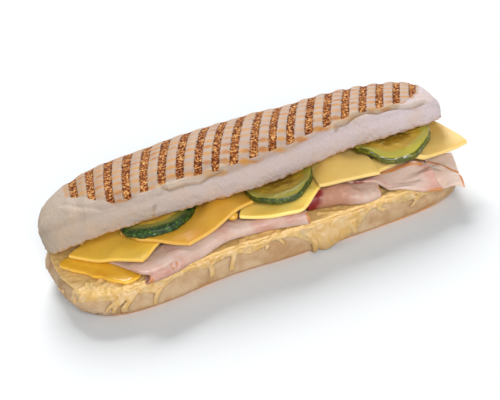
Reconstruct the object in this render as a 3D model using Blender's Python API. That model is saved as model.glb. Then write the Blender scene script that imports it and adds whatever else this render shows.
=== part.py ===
"""A long grilled panini: two halves of a bread roll with ham, sliced cheese and pickle.

The sandwich lies on its flat underside along X, with its open front towards -Y.
Grated cheese has melted over the cut face of the lower half and runs down its front.
Every layer is laid on the ones below it, so that nothing overlaps and nothing floats.
Metres, +Z up, with the origin on the flat underside.
"""

import itertools
import math

import bmesh
import bpy
from mathutils import Vector, noise
from mathutils.bvhtree import BVHTree

NAME = "panini"

# Clearance between solids that touch, and below a sheet that is laid on others
GAP = 0.0004
SETTLE_GAP = 0.0006

# The origin is this far behind the line that the section's measures start from
ORIGIN_Y = 0.013

# Grill lines on the lid, which lean to the right and stand straighter at the left end
GRILL_PITCH = 0.0115
GRILL_LEAN = 0.29
GRILL_LEFT_LEAN = 0.44
GRILL_START = 0.0039
GRILL_MIDDLE = 0.028
GRILL_DEPTH = 0.0009
GRILL_HALF_LENGTH = 0.110
LID_COLUMNS = 92

# Upper half, with its cut face tilted down to the back and drooping at the ends
LID_HALF_LENGTH = 0.1288
LID_CENTRE_X = 0.0012
LID_FRONT = -0.0035
LID_BULGE = 0.002
LID_FRONT_STEP = 0.0085
LID_BACK = 0.0745
LID_BACK_STEP = 0.0065
LID_EDGE_Z = 0.0433
LID_EDGE_STEP = 0.0042
LID_STEP_START = 0.005
LID_STEP_END = 0.075
LID_TILT = 0.10
LID_SIDE = 0.009
LID_CROWN = 0.0174
LID_DROOP_LEFT = 0.015
LID_DROOP_RIGHT = 0.004
LID_END_POWER = 4.5
LID_LEFT_SIDE = 0.005

# The lid's cut face is this share smaller than its widest level
LID_INSET = 0.05
LID_END_INSET = 0.006
LID_RIGHT_SLANT = 0.06

# The grill has pressed the crown lower over these stretches
PRESSED_LEFT = 0.0022
PRESSED_RIGHT = 0.0028

# Lower half
BASE_HALF_LENGTH = 0.1282
BASE_CENTRE_X = 0.0010
BASE_LEFT_SLANT = 0.2
BASE_FRONT = -0.0262
BASE_FRONT_SLOPE = 0.075
BASE_BACK = 0.056
BASE_BACK_SLOPE = -0.03
BASE_CUT_Z = 0.020
BASE_EQUATOR_Z = 0.013
BASE_FLAT_SHARE = 0.89
BASE_LEFT_ROUNDING = 0.09
BASE_COLUMNS = 48
BASE_CUT_INSET = 0.03

# Grid lines across each half, and how much their ends are drawn together
LOAF_ROWS = 12
LOAF_SQUEEZE = 0.05

# Fillings: thicknesses, and how the pile of cheese slices bends down to the front
CHEESE = 0.0026
PILE_HEIGHT = 0.042
CHEESE_SLOPE = 0.5
CHEESE_BEND = 0.010
HAM = 0.0018
HAM_BED_LEAST = 0.003
HAM_FLOOR = 0.0224
HAM_UNEVEN = 0.0003
MELT = 0.0015
MELT_CLEAR = 0.0009
MELT_LEAST_RUN = 0.0025
MELT_LONGEST_RUN = 0.0185
MELT_COLUMNS = 46
MELT_LENGTH_SHARE = 0.97
MELT_LEFT_LENGTH_SHARE = 0.992
MELT_INSET = 0.965
MELT_LEFT_INSET = 0.982
PICKLE = 0.004
PICKLE_CELLS = 9
PICKLE_SPREAD = 0.0035
THINNEST = 0.0012

# Where a sheet's cells are tried against what is below them, corners first
SETTLE_STEPS = (0.0, 1.0, 0.5, 0.25, 0.75, 0.12, 0.88)

placed = []


def ease(value):
    """Goes smoothly from 0 to 1 as value does."""
    share = min(max(value, 0.0), 1.0)
    return share * share * (3 - 2 * share)


def rise(x, start, end):
    """Goes smoothly from 0 at start to 1 at end."""
    return ease((x - start) / (end - start))


def hump(x, centre, width):
    """A smooth bump of height 1 round centre."""
    return math.exp(-(((x - centre) / width) ** 2))


def waver(x, y, scale, seed):
    """Smooth unevenness from -1 to 1 that changes over about the given scale."""
    return noise.noise(Vector((x / scale, y / scale, seed)))


def make_material(name, colour, roughness):
    """A plain Principled material."""
    material = bpy.data.materials.new(name)
    material.use_nodes = True
    shader = material.node_tree.nodes["Principled BSDF"]
    shader.inputs["Base Color"].default_value = (*colour, 1.0)
    shader.inputs["Roughness"].default_value = roughness
    shader.inputs["Metallic"].default_value = 0.0
    material.diffuse_color = (*colour, 1.0)
    return material


def block(along, across, up):
    """A cube from -1 to 1 whose faces are cut into a grid."""
    shape = bmesh.new()
    bmesh.ops.create_cube(shape, size=2.0)
    for axis, pieces in enumerate((along, across, up)):
        edges = [
            edge for edge in shape.edges
            if abs(edge.verts[0].co[axis] - edge.verts[1].co[axis]) > 1.0
        ]
        if pieces > 1:
            bmesh.ops.subdivide_edges(shape, edges=edges, cuts=pieces - 1)
    return shape


def add_solid(name, shape, material, parts):
    """Turns a shape into an object and remembers its surface for what lies on it."""
    if shape.calc_volume(signed=True) < 0:
        bmesh.ops.reverse_faces(shape, faces=shape.faces)
    bmesh.ops.triangulate(shape, faces=shape.faces)
    placed.append(BVHTree.FromBMesh(shape))
    bmesh.ops.translate(shape, verts=shape.verts, vec=(0.0, -ORIGIN_Y, 0.0))
    mesh = bpy.data.meshes.new(name)
    shape.to_mesh(mesh)
    shape.free()
    mesh.materials.append(material)
    mesh.shade_smooth()
    mesh.set_sharp_from_angle(angle=math.radians(40))
    solid = bpy.data.objects.new(name, mesh)
    parts.objects.link(solid)
    return solid


def height_below(x, y):
    """The highest point at x, y of what is already placed."""
    highest = 0.0
    for tree in placed:
        hit = tree.ray_cast(Vector((x, y, 0.2)), Vector((0, 0, -1)))[0]
        if hit is not None:
            highest = max(highest, hit.z)
    return highest


class Loaf:
    """The plan of one half of the roll: a long oval with blunt ends."""

    def __init__(self, centre_x, half_length, powers, front, back, lean=0.0, slants=(0.0, 0.0)):
        self.centre_x = centre_x
        self.half_length = half_length
        self.powers = powers
        self.front = front
        self.back = back
        self.lean = lean
        self.slants = slants

    def power(self, share):
        """How blunt the end on this side is."""
        return self.powers[0] if share < 0 else self.powers[1]

    def side(self, share):
        """Half width at this share of the length, as a share of the full half width."""
        power = self.power(share)
        return max(1 - abs(share) ** power, 0.0) ** (1 / power)

    def plan(self, u, v):
        """The shares along and across of grid place u, v. The grid's rim is the oval's."""
        power = self.power(u)
        skew = self.lean * v * (1 - abs(u) ** 6)
        share = u * (1 - LOAF_SQUEEZE * abs(v) ** power * abs(u) ** 8) + skew
        share = min(max(share, -1.0), 1.0)
        if abs(u) > 0.9999:
            return share, math.copysign(self.side(share), v) if abs(v) > 1e-6 else 0.0
        return share, v * self.side(share)

    def ring(self, share, across):
        """0 in the middle of the oval and 1 on its rim."""
        power = self.power(share)
        return min((abs(share) ** power + abs(across) ** power) ** (1 / power), 1.0)

    def place(self, share, across):
        """The x, y of a place given by its shares."""
        x = self.centre_x + self.half_length * share
        front, back = self.front(x), self.back(x)
        ahead = (front - back) / 2 * across
        x += self.slants[share > 0] * share ** 4 * ahead
        return x, (front + back) / 2 - ahead

    def shares(self, x, y):
        """The shares of x, y."""
        front, back = self.front(x), self.back(x)
        return (x - self.centre_x) / self.half_length, (2 * y - front - back) / (back - front)

    def covers(self, x, y, scale):
        """Whether x, y lies inside the oval shrunk to this scale."""
        share, across = self.shares(x, y)
        return abs(share) < scale and self.ring(share / scale, across / scale) < 0.999


def lid_step(x):
    """The right part of the lid sits higher and further back."""
    return rise(x, LID_STEP_START, LID_STEP_END)


def lid_front(x):
    return LID_FRONT - LID_BULGE + LID_FRONT_STEP * lid_step(x)


def lid_back(x):
    return LID_BACK - LID_BACK_STEP * lid_step(x)


def lid_cut(x, y):
    """Height of the lid's cut face."""
    share = (x - LID_CENTRE_X) / LID_HALF_LENGTH
    droop = LID_DROOP_LEFT if share < 0 else LID_DROOP_RIGHT
    edge = LID_EDGE_Z + LID_EDGE_STEP * lid_step(x) - droop * abs(share) ** LID_END_POWER
    return edge - LID_TILT * (y - LID_FRONT)


def base_front(x):
    swell = 0.0030 * hump(x, -0.078, 0.030) - 0.0030 * hump(x, -0.022, 0.027)
    return BASE_FRONT + BASE_FRONT_SLOPE * x - swell


def base_back(x):
    return BASE_BACK + BASE_BACK_SLOPE * x


LID_LEAN = GRILL_LEAN * (LID_BACK - LID_FRONT) / 2 / LID_HALF_LENGTH
LID = Loaf(LID_CENTRE_X, LID_HALF_LENGTH, (3.2, 4.3), lid_front, lid_back, LID_LEAN,
           (0.0, LID_RIGHT_SLANT))
BASE = Loaf(BASE_CENTRE_X, BASE_HALF_LENGTH, (4.6, 5.6), base_front, base_back,
            slants=(BASE_LEFT_SLANT, 0.0))


def grill_groove(x, y):
    """Depth of the grill's lines, pressed into the top only."""
    middle = (lid_front(x) + lid_back(x)) / 2
    lean = GRILL_LEAN - GRILL_LEFT_LEAN * (max(-x, 0.0) / LID_HALF_LENGTH) ** 1.5
    line = (x - lean * (y - GRILL_MIDDLE) - GRILL_START) / GRILL_PITCH
    pressed = rise(y, lid_front(x) + 0.003, lid_front(x) + 0.008)
    pressed *= 1 - rise(y, middle + 0.024, middle + 0.032)
    pressed *= 1 - rise(abs(x), GRILL_HALF_LENGTH - 0.006, GRILL_HALF_LENGTH)
    return GRILL_DEPTH * pressed * (0.5 + 0.5 * math.cos(2 * math.pi * line))


def dissolve_across(shape, is_cut_face):
    """Leaves a cut face with one strip of faces across it."""
    edges = [
        edge for edge in shape.edges
        if len(edge.link_faces) == 2 and all(is_cut_face(face) for face in edge.link_faces)
        and abs(edge.verts[0].co.x - edge.verts[1].co.x) > 1e-6
    ]
    bmesh.ops.dissolve_edges(shape, edges=edges, use_verts=True)


def loaf_grid(along, across, levels, cut_up):
    """A grid block for half a roll, with its cut face already in single strips."""
    shape = block(along, across, levels)
    cut = 1.0 if cut_up else -1.0
    dissolve_across(shape, lambda face: all(abs(v.co.z - cut) < 1e-6 for v in face.verts))
    return shape


def make_lid(parts, material):
    """The upper half, domed and pressed flat by the grill, with its cut face down."""
    shape = loaf_grid(LID_COLUMNS, LOAF_ROWS, 2, cut_up=False)
    for vert in shape.verts:
        u, v, w = vert.co
        level = (w + 1) / 2
        v = math.sin(v * math.pi / 2)
        share, across = LID.plan(u, v)
        inset = (1 - level) ** 2
        x, y = LID.place(share * (1 - LID_END_INSET * inset), across * (1 - LID_INSET * inset))
        height = (LID_SIDE + LID_LEFT_SIDE * max(-share, 0.0) ** LID_END_POWER) * level
        if level > 0.999:
            ring = LID.ring(share, across)
            on_rim = abs(u) > 0.9999 or abs(v) > 0.9999
            dome = 0.0 if on_rim else (1 - ring ** 2.3) ** (1 / 2.2)
            crown = LID_CROWN - PRESSED_LEFT * hump(x, -0.055, 0.022)
            crown -= PRESSED_RIGHT * rise(x, 0.02, 0.045)
            height += crown * dome * (1 + 0.03 * waver(x, y, 0.04, 2.0))
            height -= grill_groove(x, y)
        elif level > 0.2:
            y += 0.0008 * waver(x, y, 0.03, 7.0)
        vert.co = (x, y, lid_cut(x, y) + height)
    return add_solid("bun_top", shape, material, parts)


def base_flat(share):
    """How much of the lower half's width is flat below: less at the left end."""
    return BASE_FLAT_SHARE - BASE_LEFT_ROUNDING * rise(-share, 0.75, 0.95)


def base_ring_height(ring, flat):
    """Height of the underside: flat in the middle and rounded up to the rim."""
    turn = max(ring - flat, 0.0) / (1 - flat)
    return BASE_EQUATOR_Z * (1 - math.sqrt(max(1 - turn * turn, 0.0)))


def base_scale(z, share):
    """How wide the lower half is at height z, as a share of its widest there."""
    if z >= BASE_EQUATOR_Z:
        return 1 - BASE_CUT_INSET * ((z - BASE_EQUATOR_Z) / (BASE_CUT_Z - BASE_EQUATOR_Z)) ** 2
    turn = math.sqrt(max(1 - (1 - z / BASE_EQUATOR_Z) ** 2, 0.0))
    flat = base_flat(share)
    return flat + (1 - flat) * turn


def make_base(parts, material):
    """The lower half, with its cut face up and a flat underside to lie on."""
    shape = loaf_grid(BASE_COLUMNS, LOAF_ROWS, 2, cut_up=True)
    for vert in shape.verts:
        u, v, w = vert.co
        level = (1 - w) / 2
        v = math.sin(v * math.pi / 2)
        share, across = BASE.plan(u, v)
        if level > 0.999:
            on_rim = abs(u) > 0.9999 or abs(v) > 0.9999
            ring = BASE.ring(share, across)
            z = BASE_EQUATOR_Z if on_rim else base_ring_height(ring, base_flat(share))
            scale = 1.0
        else:
            z = BASE_CUT_Z + (BASE_EQUATOR_Z - BASE_CUT_Z) * level
            scale = base_scale(z, share)
        x, y = BASE.place(share * scale, across * scale)
        vert.co = (x, y, z)
    return add_solid("bun_bottom", shape, material, parts)


# How far the melted cheese runs down the front: where, how wide, how far
MELT_RUNS = (
    (-0.104, 0.008, 0.002),
    (-0.089, 0.009, 0.0035),
    (-0.068, 0.008, 0.005),
    (-0.035, 0.010, 0.003),
    (-0.010, 0.006, 0.004),
    (0.035, 0.011, 0.0165),
    (0.053, 0.009, 0.012),
    (0.092, 0.010, 0.004),
)


def melt_run(x):
    """How far below the cut edge the melted cheese reaches at x."""
    run = MELT_LEAST_RUN
    for centre, width, length in MELT_RUNS:
        run += length * hump(x, centre, width)
    return min(run, MELT_LONGEST_RUN)


def rim_place(u, z, offset):
    """A place on the front of the lower half at height z, moved outwards by offset."""
    share, across = BASE.plan(u, -1.0)
    scale = base_scale(z, share)
    x, y = BASE.place(share * scale, across * scale)
    ahead = BASE.place(*[s * scale for s in BASE.plan(min(u + 0.01, 0.9998), -1.0)])
    behind = BASE.place(*[s * scale for s in BASE.plan(max(u - 0.01, -0.9998), -1.0)])
    along = Vector((ahead[0] - behind[0], ahead[1] - behind[1])).normalized()
    return x + along.y * offset, y - along.x * offset


def make_melt(parts, material):
    """The melted grated cheese: a blanket on the cut face that runs down the front."""
    rows_down = 6
    rows_flat = 4
    rows = rows_down + rows_flat
    shape = block(MELT_COLUMNS, rows, 1)
    for vert in shape.verts:
        u, v, w = vert.co
        outer = w > 0
        row = round((v + 1) / 2 * rows)
        reach_u = u * (MELT_LEFT_LENGTH_SHARE if u < 0 else MELT_LENGTH_SHARE)
        inset = MELT_LEFT_INSET if u < 0 else MELT_INSET
        if row >= rows_down:
            back_share = (row - rows_down) / rows_flat
            share, across = BASE.plan(reach_u, -0.985 + 1.9 * back_share)
            x, y = BASE.place(share * inset, across * inset)
            z = BASE_CUT_Z + GAP
            z += (MELT + 0.0005 * waver(x, y, 0.009, 4.0)) if outer else 0.0
        else:
            x_here = BASE.place(*BASE.plan(reach_u, -1.0))[0]
            down = (rows_down - 1 - row) / (rows_down - 1)
            z = BASE_CUT_Z + 0.0005 - melt_run(x_here) * down
            thick = MELT * (1.05 - 0.35 * down)
            x, y = rim_place(reach_u, z, MELT_CLEAR + (thick if outer else 0.0))
            z += 0.0008 if outer and row == rows_down - 1 else 0.0
        vert.co = (x, y, z)
    blanket = add_solid("melted_cheese", shape, material, parts)
    join_shreds(blanket, parts, material)
    return blanket


# Shreds of cheese that hang down the front: x at the top and the foot, z at both, bend
SHREDS = (
    (-0.0908, -0.1020, 0.0185, 0.0060, -0.0010),
    (-0.0872, -0.0962, 0.0185, 0.0045, -0.0010),
    (-0.0826, -0.0906, 0.0185, 0.0040, -0.0008),
    (-0.0665, -0.0738, 0.0155, 0.0050, -0.0010),
    (-0.0335, -0.0356, 0.0185, 0.0085, 0.0004),
    (-0.0190, -0.0236, 0.0190, 0.0075, 0.0004),
    (0.0270, 0.0290, 0.0160, 0.0022, 0.0008),
    (0.0545, 0.0565, 0.0150, 0.0050, -0.0010),
    (0.0960, 0.0915, 0.0165, 0.0100, 0.0022),
)
SHRED_WIDTH = 0.0034
SHRED = 0.0018


def make_shred(top_x, foot_x, top_z, foot_z, bend):
    """One flat shred that hangs down the front of the lower half."""
    shape = block(6, 1, 1)
    for vert in shape.verts:
        u, v, w = vert.co
        share = (u + 1) / 2
        x_wanted = top_x + (foot_x - top_x) * share + bend * math.sin(math.pi * share)
        x_wanted += SHRED_WIDTH / 2 * v * (1 - 0.15 * share)
        z = top_z + (foot_z - top_z) * share
        along = (x_wanted - BASE_CENTRE_X) / BASE_HALF_LENGTH
        out = MELT_CLEAR + 0.0006 + SHRED * (w + 1) / 2
        vert.co = (*rim_place(along, z, out), z)
    return shape


def join_shreds(blanket, parts, material):
    """Fuses the hanging shreds to the melted cheese with one union."""
    loose = bpy.data.collections.new("shreds")
    bpy.context.scene.collection.children.link(loose)
    for number, shred in enumerate(SHREDS):
        add_solid(f"shred_{number}", make_shred(*shred), material, loose)
        placed.pop()
    union = blanket.modifiers.new("join", "BOOLEAN")
    union.operation = "UNION"
    union.operand_type = "COLLECTION"
    union.collection = loose
    union.solver = "MANIFOLD"
    seen = bpy.context.evaluated_depsgraph_get()
    joined = bpy.data.meshes.new_from_object(blanket.evaluated_get(seen))
    blanket.modifiers.remove(union)
    blanket.data = joined
    for shred in list(loose.objects):
        bpy.data.objects.remove(shred, do_unlink=True)
    bpy.data.collections.remove(loose)


def between(a, b, c, d, s, t):
    """The value at shares s, t between four corners, given round the quad."""
    return a * (1 - s) * (1 - t) + b * s * (1 - t) + c * s * t + d * (1 - s) * t


def lowest_between(a, b, c, d, s, t):
    """As between, for the lower of the two ways to split the quad into triangles."""
    if s > t:
        first = a + (b - a) * s + (c - b) * t
    else:
        first = a + (d - a) * t + (c - d) * s
    if s + t < 1:
        second = a + (b - a) * s + (d - a) * t
    else:
        second = c + (d - c) * (1 - s) + (b - c) * (1 - t)
    return min(first, second)


def slice_outline(*corners):
    """A square slice: the place at shares s, t, with its corners a little rounded."""
    def outline(s, t):
        corner = (2 * s - 1) ** 2 * (2 * t - 1) ** 2
        s = 0.5 + (s - 0.5) * (1 - 0.03 * corner)
        t = 0.5 + (t - 0.5) * (1 - 0.03 * corner)
        return between(*(Vector(corner) for corner in corners), s, t)
    return outline


def round_outline(centre_x, centre_y, radius):
    """A round slice, a little uneven: the place at shares s, t."""
    def outline(s, t):
        a, b = 2 * s - 1, 2 * t - 1
        across, along = a * math.sqrt(1 - b * b / 2), b * math.sqrt(1 - a * a / 2)
        turn = math.atan2(along, across)
        wave = 1 + 0.012 * math.sin(5 * turn + centre_x * 90) + 0.008 * math.sin(9 * turn)
        return Vector((centre_x + radius * wave * across, centre_y + radius * wave * along))
    return outline


def settle(places, heights):
    """Raises the grid of a sheet's underside until it clears all that is below it."""
    for i in range(len(places) - 1):
        for j in range(len(places[0]) - 1):
            cell = ((i, j), (i + 1, j), (i + 1, j + 1), (i, j + 1))
            for s, t in itertools.product(SETTLE_STEPS, SETTLE_STEPS):
                weights = ((1 - s) * (1 - t), s * (1 - t), s * t, (1 - s) * t)
                place = between(*(places[a][b] for a, b in cell), s, t)
                height = lowest_between(*(heights[a][b] for a, b in cell), s, t)
                lack = height_below(place.x, place.y) + SETTLE_GAP - height
                if lack > 0:
                    total = sum(weight * weight for weight in weights)
                    for (a, b), weight in zip(cell, weights):
                        heights[a][b] += lack * weight / total


def make_sheet(name, outline, thick, along, across, planned, parts, material):
    """A thin sheet laid on what is below it, with its underside at planned or higher.

    outline gives its plan, and planned the wanted height at x, y and shares s, t.
    """
    places = []
    heights = []
    for i in range(along + 1):
        places.append([outline(i / along, j / across) for j in range(across + 1)])
        heights.append([
            planned(place.x, place.y, i / along, j / across)
            for j, place in enumerate(places[i])
        ])
    settle(places, heights)
    shape = block(along, across, 1)
    for vert in shape.verts:
        i = round((vert.co.x + 1) / 2 * along)
        j = round((vert.co.y + 1) / 2 * across)
        x, y = places[i][j]
        z = heights[i][j]
        if vert.co.z > 0:
            room = lid_cut(x, y) - 2 * GAP - z if LID.covers(x, y, 1.0) else thick
            z += min(thick, max(room, THINNEST))
        vert.co = (x, y, z)
    return add_solid(name, shape, material, parts)


# Pickle slices: the middle and radius of each
PICKLES = {
    "pickle_left": (-0.0560, 0.0075, 0.0240),
    "pickle_middle": (0.0190, 0.001, 0.0213),
    "pickle_right": (0.0930, 0.0135, 0.0250),
}


def pickle_room(x, y):
    """How far the cheese is pressed down to make room for the pickle slices."""
    room = 0.0
    for centre_x, centre_y, radius in PICKLES.values():
        away = math.hypot(x - centre_x, y - centre_y)
        room = max(room, 1 - rise(away, radius + PICKLE_SPREAD, radius + 3 * PICKLE_SPREAD))
    return (PICKLE + GAP) * room


def pile_edge(x):
    """Height of the topmost cheese under the lid's front edge."""
    height = PILE_HEIGHT + 0.0025 * hump(x, 0.055, 0.02)
    height -= 0.013 * rise(-x, 0.062, 0.108)
    height -= 0.002 * rise(x, 0.07, 0.09) + 0.0035 * rise(x, 0.095, 0.135)
    return height


def pile(x, y):
    """Height of the top of the cheese: bending down to the front, pressed under the lid."""
    edge = lid_front(x) + LID_BULGE
    ahead = max(edge - y, 0.0)
    height = pile_edge(x) - CHEESE_SLOPE * ahead * ahead / (ahead + CHEESE_BEND)
    return min(height, lid_cut(x, max(y, edge)) - 2 * GAP - pickle_room(x, y))


def pile_level(level):
    """The underside of a cheese slice that lies this many slices below the top."""
    return lambda x, y, s, t: pile(x, y) - CHEESE - level * (CHEESE + GAP)


def corner_heights(a, b, c, d, bow=0.0):
    """The underside of a sheet given at its four corners, bowed up from front to back."""
    return lambda x, y, s, t: between(a, b, c, d, s, t) + bow * math.sin(math.pi * s)


def make_ham_bed(parts, material):
    """The folded ham in the middle, as thick as the space between the breads leaves."""
    along, across, levels = 20, 8, 4
    outline = slice_outline((-0.074, 0.002), (0.104, 0.004), (0.108, 0.047), (-0.078, 0.05))
    places = [[outline(i / along, j / across) for j in range(across + 1)]
              for i in range(along + 1)]
    lows = [[0.0] * (across + 1) for _ in range(along + 1)]
    settle(places, lows)
    shape = block(along, across, levels)
    for vert in shape.verts:
        u, v, w = vert.co
        i, j = round((u + 1) / 2 * along), round((v + 1) / 2 * across)
        level = (w + 1) / 2
        x, y = places[i][j]
        low = lows[i][j]
        high = max(pile(x, y) - 2 * (CHEESE + SETTLE_GAP), low + HAM_BED_LEAST)
        fold = 0.0016 * math.sin(level * 2.5 * math.pi + x * 60)
        y += math.copysign(fold, v) if abs(v) > 0.999 and 0 < level < 1 else 0.0
        x += math.copysign(fold, u) if abs(u) > 0.999 and 0 < level < 1 else 0.0
        vert.co = (x, y, low + (high - low) * level)
    return add_solid("ham_bed", shape, material, parts)


def make_ham_fold(name, parts, material, left, right, front, height, low_leaf, top_leaf,
                  leaf_drop, lean_left, lean_right, along):
    """A ham slice folded over at the front, open at its ends.

    front, height and top_leaf give at x the fold's front line, how high it stands and
    how far the upper leaf runs back. The leaf's ends lean by lean_left and lean_right.
    """
    across = 10
    shape = block(along, across, 1)
    arc_start, arc_end = 0.2, 0.62
    for vert in shape.verts:
        u, v, w = vert.co
        s, t = (u + 1) / 2, (v + 1) / 2
        x = left + (right - left) * s
        tall = height(x)
        radius = (tall - HAM) / 2
        centre_y = front(x) + radius + HAM / 2
        centre_z = HAM_FLOOR + tall / 2
        if t <= arc_start:
            back = (arc_start - t) / arc_start
            y, z = centre_y + low_leaf * back, centre_z - radius
            out_y, out_z = 0.0, -1.0
        elif t < arc_end:
            angle = math.pi * (t - arc_start) / (arc_end - arc_start)
            out_y, out_z = -math.sin(angle), -math.cos(angle)
            y, z = centre_y + radius * out_y, centre_z + radius * out_z
        else:
            back = (t - arc_end) / (1 - arc_end)
            y, z = centre_y + top_leaf(x) * back, centre_z + radius - leaf_drop * back
            z += HAM_UNEVEN * waver(x, y, 0.012, 11.0)
            out_y, out_z = 0.0, 1.0
            x += (lean_left * (1 - s) + lean_right * s) * back
        offset = HAM / 2 * w
        vert.co = (x, y + out_y * offset, z + out_z * offset)
    return add_solid(name, shape, material, parts)


def make_pickle(name, parts, material):
    """A round slice of pickle, laid on the cheese and bent under the lid."""
    outline = round_outline(*PICKLES[name])
    make_sheet(name, outline, PICKLE, PICKLE_CELLS, PICKLE_CELLS,
               lambda x, y, s, t: pile(x, y) + GAP, parts, material)


def build():
    for thing in list(bpy.data.objects):
        bpy.data.objects.remove(thing, do_unlink=True)
    parts = bpy.data.collections.new(NAME)
    bpy.context.scene.collection.children.link(parts)

    crust = make_material("crust", (0.66, 0.47, 0.30), 0.75)
    pale_crust = make_material("pale_crust", (0.72, 0.55, 0.42), 0.75)
    melt = make_material("melted_cheese", (0.80, 0.60, 0.26), 0.40)
    cheese = make_material("cheese", (0.80, 0.50, 0.10), 0.35)
    ham = make_material("ham", (0.74, 0.46, 0.38), 0.45)
    pickle = make_material("pickle", (0.22, 0.24, 0.05), 0.25)

    make_base(parts, crust)
    make_melt(parts, melt)
    make_sheet("cheese_melted", slice_outline((-0.1225, 0.008), (-0.0851, -0.0325),
               (-0.0747, -0.0260), (-0.098, 0.026)), CHEESE, 8, 6,
               corner_heights(0.0225, 0.0222, 0.0225, 0.0225), parts, cheese)
    make_ham_fold(
        "ham_left", parts, ham, -0.073, 0.029,
        lambda x: -0.0420 + 0.0190 * rise(x, -0.075, -0.008) - 0.0055 * rise(x, 0.0, 0.03),
        lambda x: 0.0085 + 0.0010 * rise(x, -0.03, 0.0) - 0.001 * rise(x, 0.015, 0.03),
        0.006, lambda x: 0.030 - 0.016 * rise(x, -0.07, -0.03), 0.0035, -0.018, 0.0, 16)
    make_ham_fold(
        "ham_middle", parts, ham, 0.0305, 0.075,
        lambda x: -0.0160 - 0.0095 * rise(x, 0.034, 0.066) + 0.003 * rise(x, 0.066, 0.075),
        lambda x: 0.0115 - 0.0040 * rise(x, 0.052, 0.072),
        0.005, lambda x: 0.009, 0.002, 0.008, 0.0, 9)
    make_ham_bed(parts, ham)
    make_sheet("ham_back", slice_outline((0.1095, 0.006), (0.1090, -0.0050), (0.1240, -0.0225),
               (0.1270, 0.001)), HAM, 5, 5, corner_heights(0.0245, 0.0235, 0.0175, 0.0245),
               parts, ham)
    make_sheet("ham_end", slice_outline((0.1000, -0.003), (0.1045, -0.0180), (0.1245, -0.0265),
               (0.1245, -0.0205)), HAM, 7, 6, corner_heights(0.0262, 0.0180, 0.0142, 0.0205, 0.002),
               parts, ham)
    make_sheet("ham_right", slice_outline((0.056, -0.003), (0.0575, -0.0110), (0.1100, -0.0240),
               (0.1085, -0.001)), HAM, 10, 7, corner_heights(0.0300, 0.0290, 0.0150, 0.0262, 0.002),
               parts, ham)
    make_sheet("cheese_left", slice_outline((-0.115, 0.010), (-0.0715, -0.0270), (-0.037, 0.006),
               (-0.080, 0.042)), CHEESE, 9, 8, pile_level(1), parts, cheese)
    make_sheet("cheese_centre", slice_outline((-0.011, -0.014), (0.0265, -0.0225), (0.060, 0.006),
               (0.010, 0.036)), CHEESE, 8, 8, pile_level(1), parts, cheese)
    make_sheet("cheese_right", slice_outline((0.064, -0.0112), (0.107, -0.0070), (0.1378, -0.0015),
               (0.1240, 0.045)), CHEESE, 8, 8, pile_level(1), parts, cheese)
    make_sheet("cheese_front", slice_outline((-0.088, 0.003), (-0.043, -0.0300), (0.024, 0.004),
               (-0.024, 0.034)), CHEESE, 9, 8, pile_level(0), parts, cheese)
    make_sheet("cheese_middle", slice_outline((0.040, -0.0145), (0.079, -0.0142), (0.066, 0.040),
               (0.038, 0.040)), CHEESE, 7, 8, pile_level(0), parts, cheese)
    for name in PICKLES:
        make_pickle(name, parts, pickle)
    make_lid(parts, pale_crust)


build()
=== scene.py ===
"""A grilled panini with ham, sliced cheese and pickle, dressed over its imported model.

The open side with the fillings faces -Y, the grill lines are on top, and the origin lies
on the flat underside of the lower bread. Metres, +Z up.
"""

import logging
import math
import random
from collections.abc import Callable, Sequence
from dataclasses import dataclass
from enum import Enum

import bpy
from mathutils import Matrix, Vector, noise
from mathutils.bvhtree import BVHTree


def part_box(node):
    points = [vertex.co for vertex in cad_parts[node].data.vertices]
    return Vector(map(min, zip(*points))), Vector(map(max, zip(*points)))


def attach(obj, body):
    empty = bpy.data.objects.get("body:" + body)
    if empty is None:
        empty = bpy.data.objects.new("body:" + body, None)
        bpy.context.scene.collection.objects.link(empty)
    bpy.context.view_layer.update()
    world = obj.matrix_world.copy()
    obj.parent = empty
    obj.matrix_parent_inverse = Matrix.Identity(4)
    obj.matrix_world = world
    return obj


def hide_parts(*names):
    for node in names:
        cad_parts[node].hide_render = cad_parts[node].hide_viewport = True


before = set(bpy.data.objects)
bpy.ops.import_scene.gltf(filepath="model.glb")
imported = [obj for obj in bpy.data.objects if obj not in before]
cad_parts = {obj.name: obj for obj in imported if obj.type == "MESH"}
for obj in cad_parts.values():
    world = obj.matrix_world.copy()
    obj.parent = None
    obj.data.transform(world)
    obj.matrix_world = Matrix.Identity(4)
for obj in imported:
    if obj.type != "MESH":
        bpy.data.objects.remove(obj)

log = logging.getLogger("panini")

Colour = tuple[float, float, float, float]
Stops = tuple[tuple[float, Colour], ...]
Range = tuple[float, float]
Point = tuple[float, float, float]
Line = tuple[Point, ...]
Spot = tuple[float, float, float, float]
Rule = Callable[[Vector, Vector], float]
Piece = bpy.types.Object

# The sandwich's own measures, as its solids have them
GRILL_LEAN = 0.29
GRILL_LEFT_LEAN = 0.44
GRILL_MIDDLE_Y = 0.015
GRILL_PITCH = 0.0115
LID_CENTRE_X = 0.0012
LID_HALF_LENGTH = 0.1288
LID_FRONT_Y = -0.0165
LID_EDGE_Z = 0.0433
LID_EDGE_RISE = 0.0042
LID_DROOPS = (0.015, 0.004)
LID_CUT_SLOPE = 0.10


def srgb(red: int, green: int, blue: int) -> Colour:
    """Turns display values into a linear colour.

    Args:
        red: from 0 to 255.
        green: from 0 to 255.
        blue: from 0 to 255.

    Returns:
        The colour, which is opaque.
    """
    linear = [
        value / 255 / 12.92 if value <= 10 else ((value / 255 + 0.055) / 1.055) ** 2.4
        for value in (red, green, blue)
    ]
    return (*linear, 1.0)


def smooth(value: float, low: float, high: float) -> float:
    """Goes smoothly from 0 at low to 1 at high."""
    share = min(max((value - low) / (high - low), 0.0), 1.0)
    return share * share * (3 - 2 * share)


def hump(value: float, centre: float, width: float) -> float:
    """A soft bump of height 1 round centre."""
    return math.exp(-(((value - centre) / width) ** 2))


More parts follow.
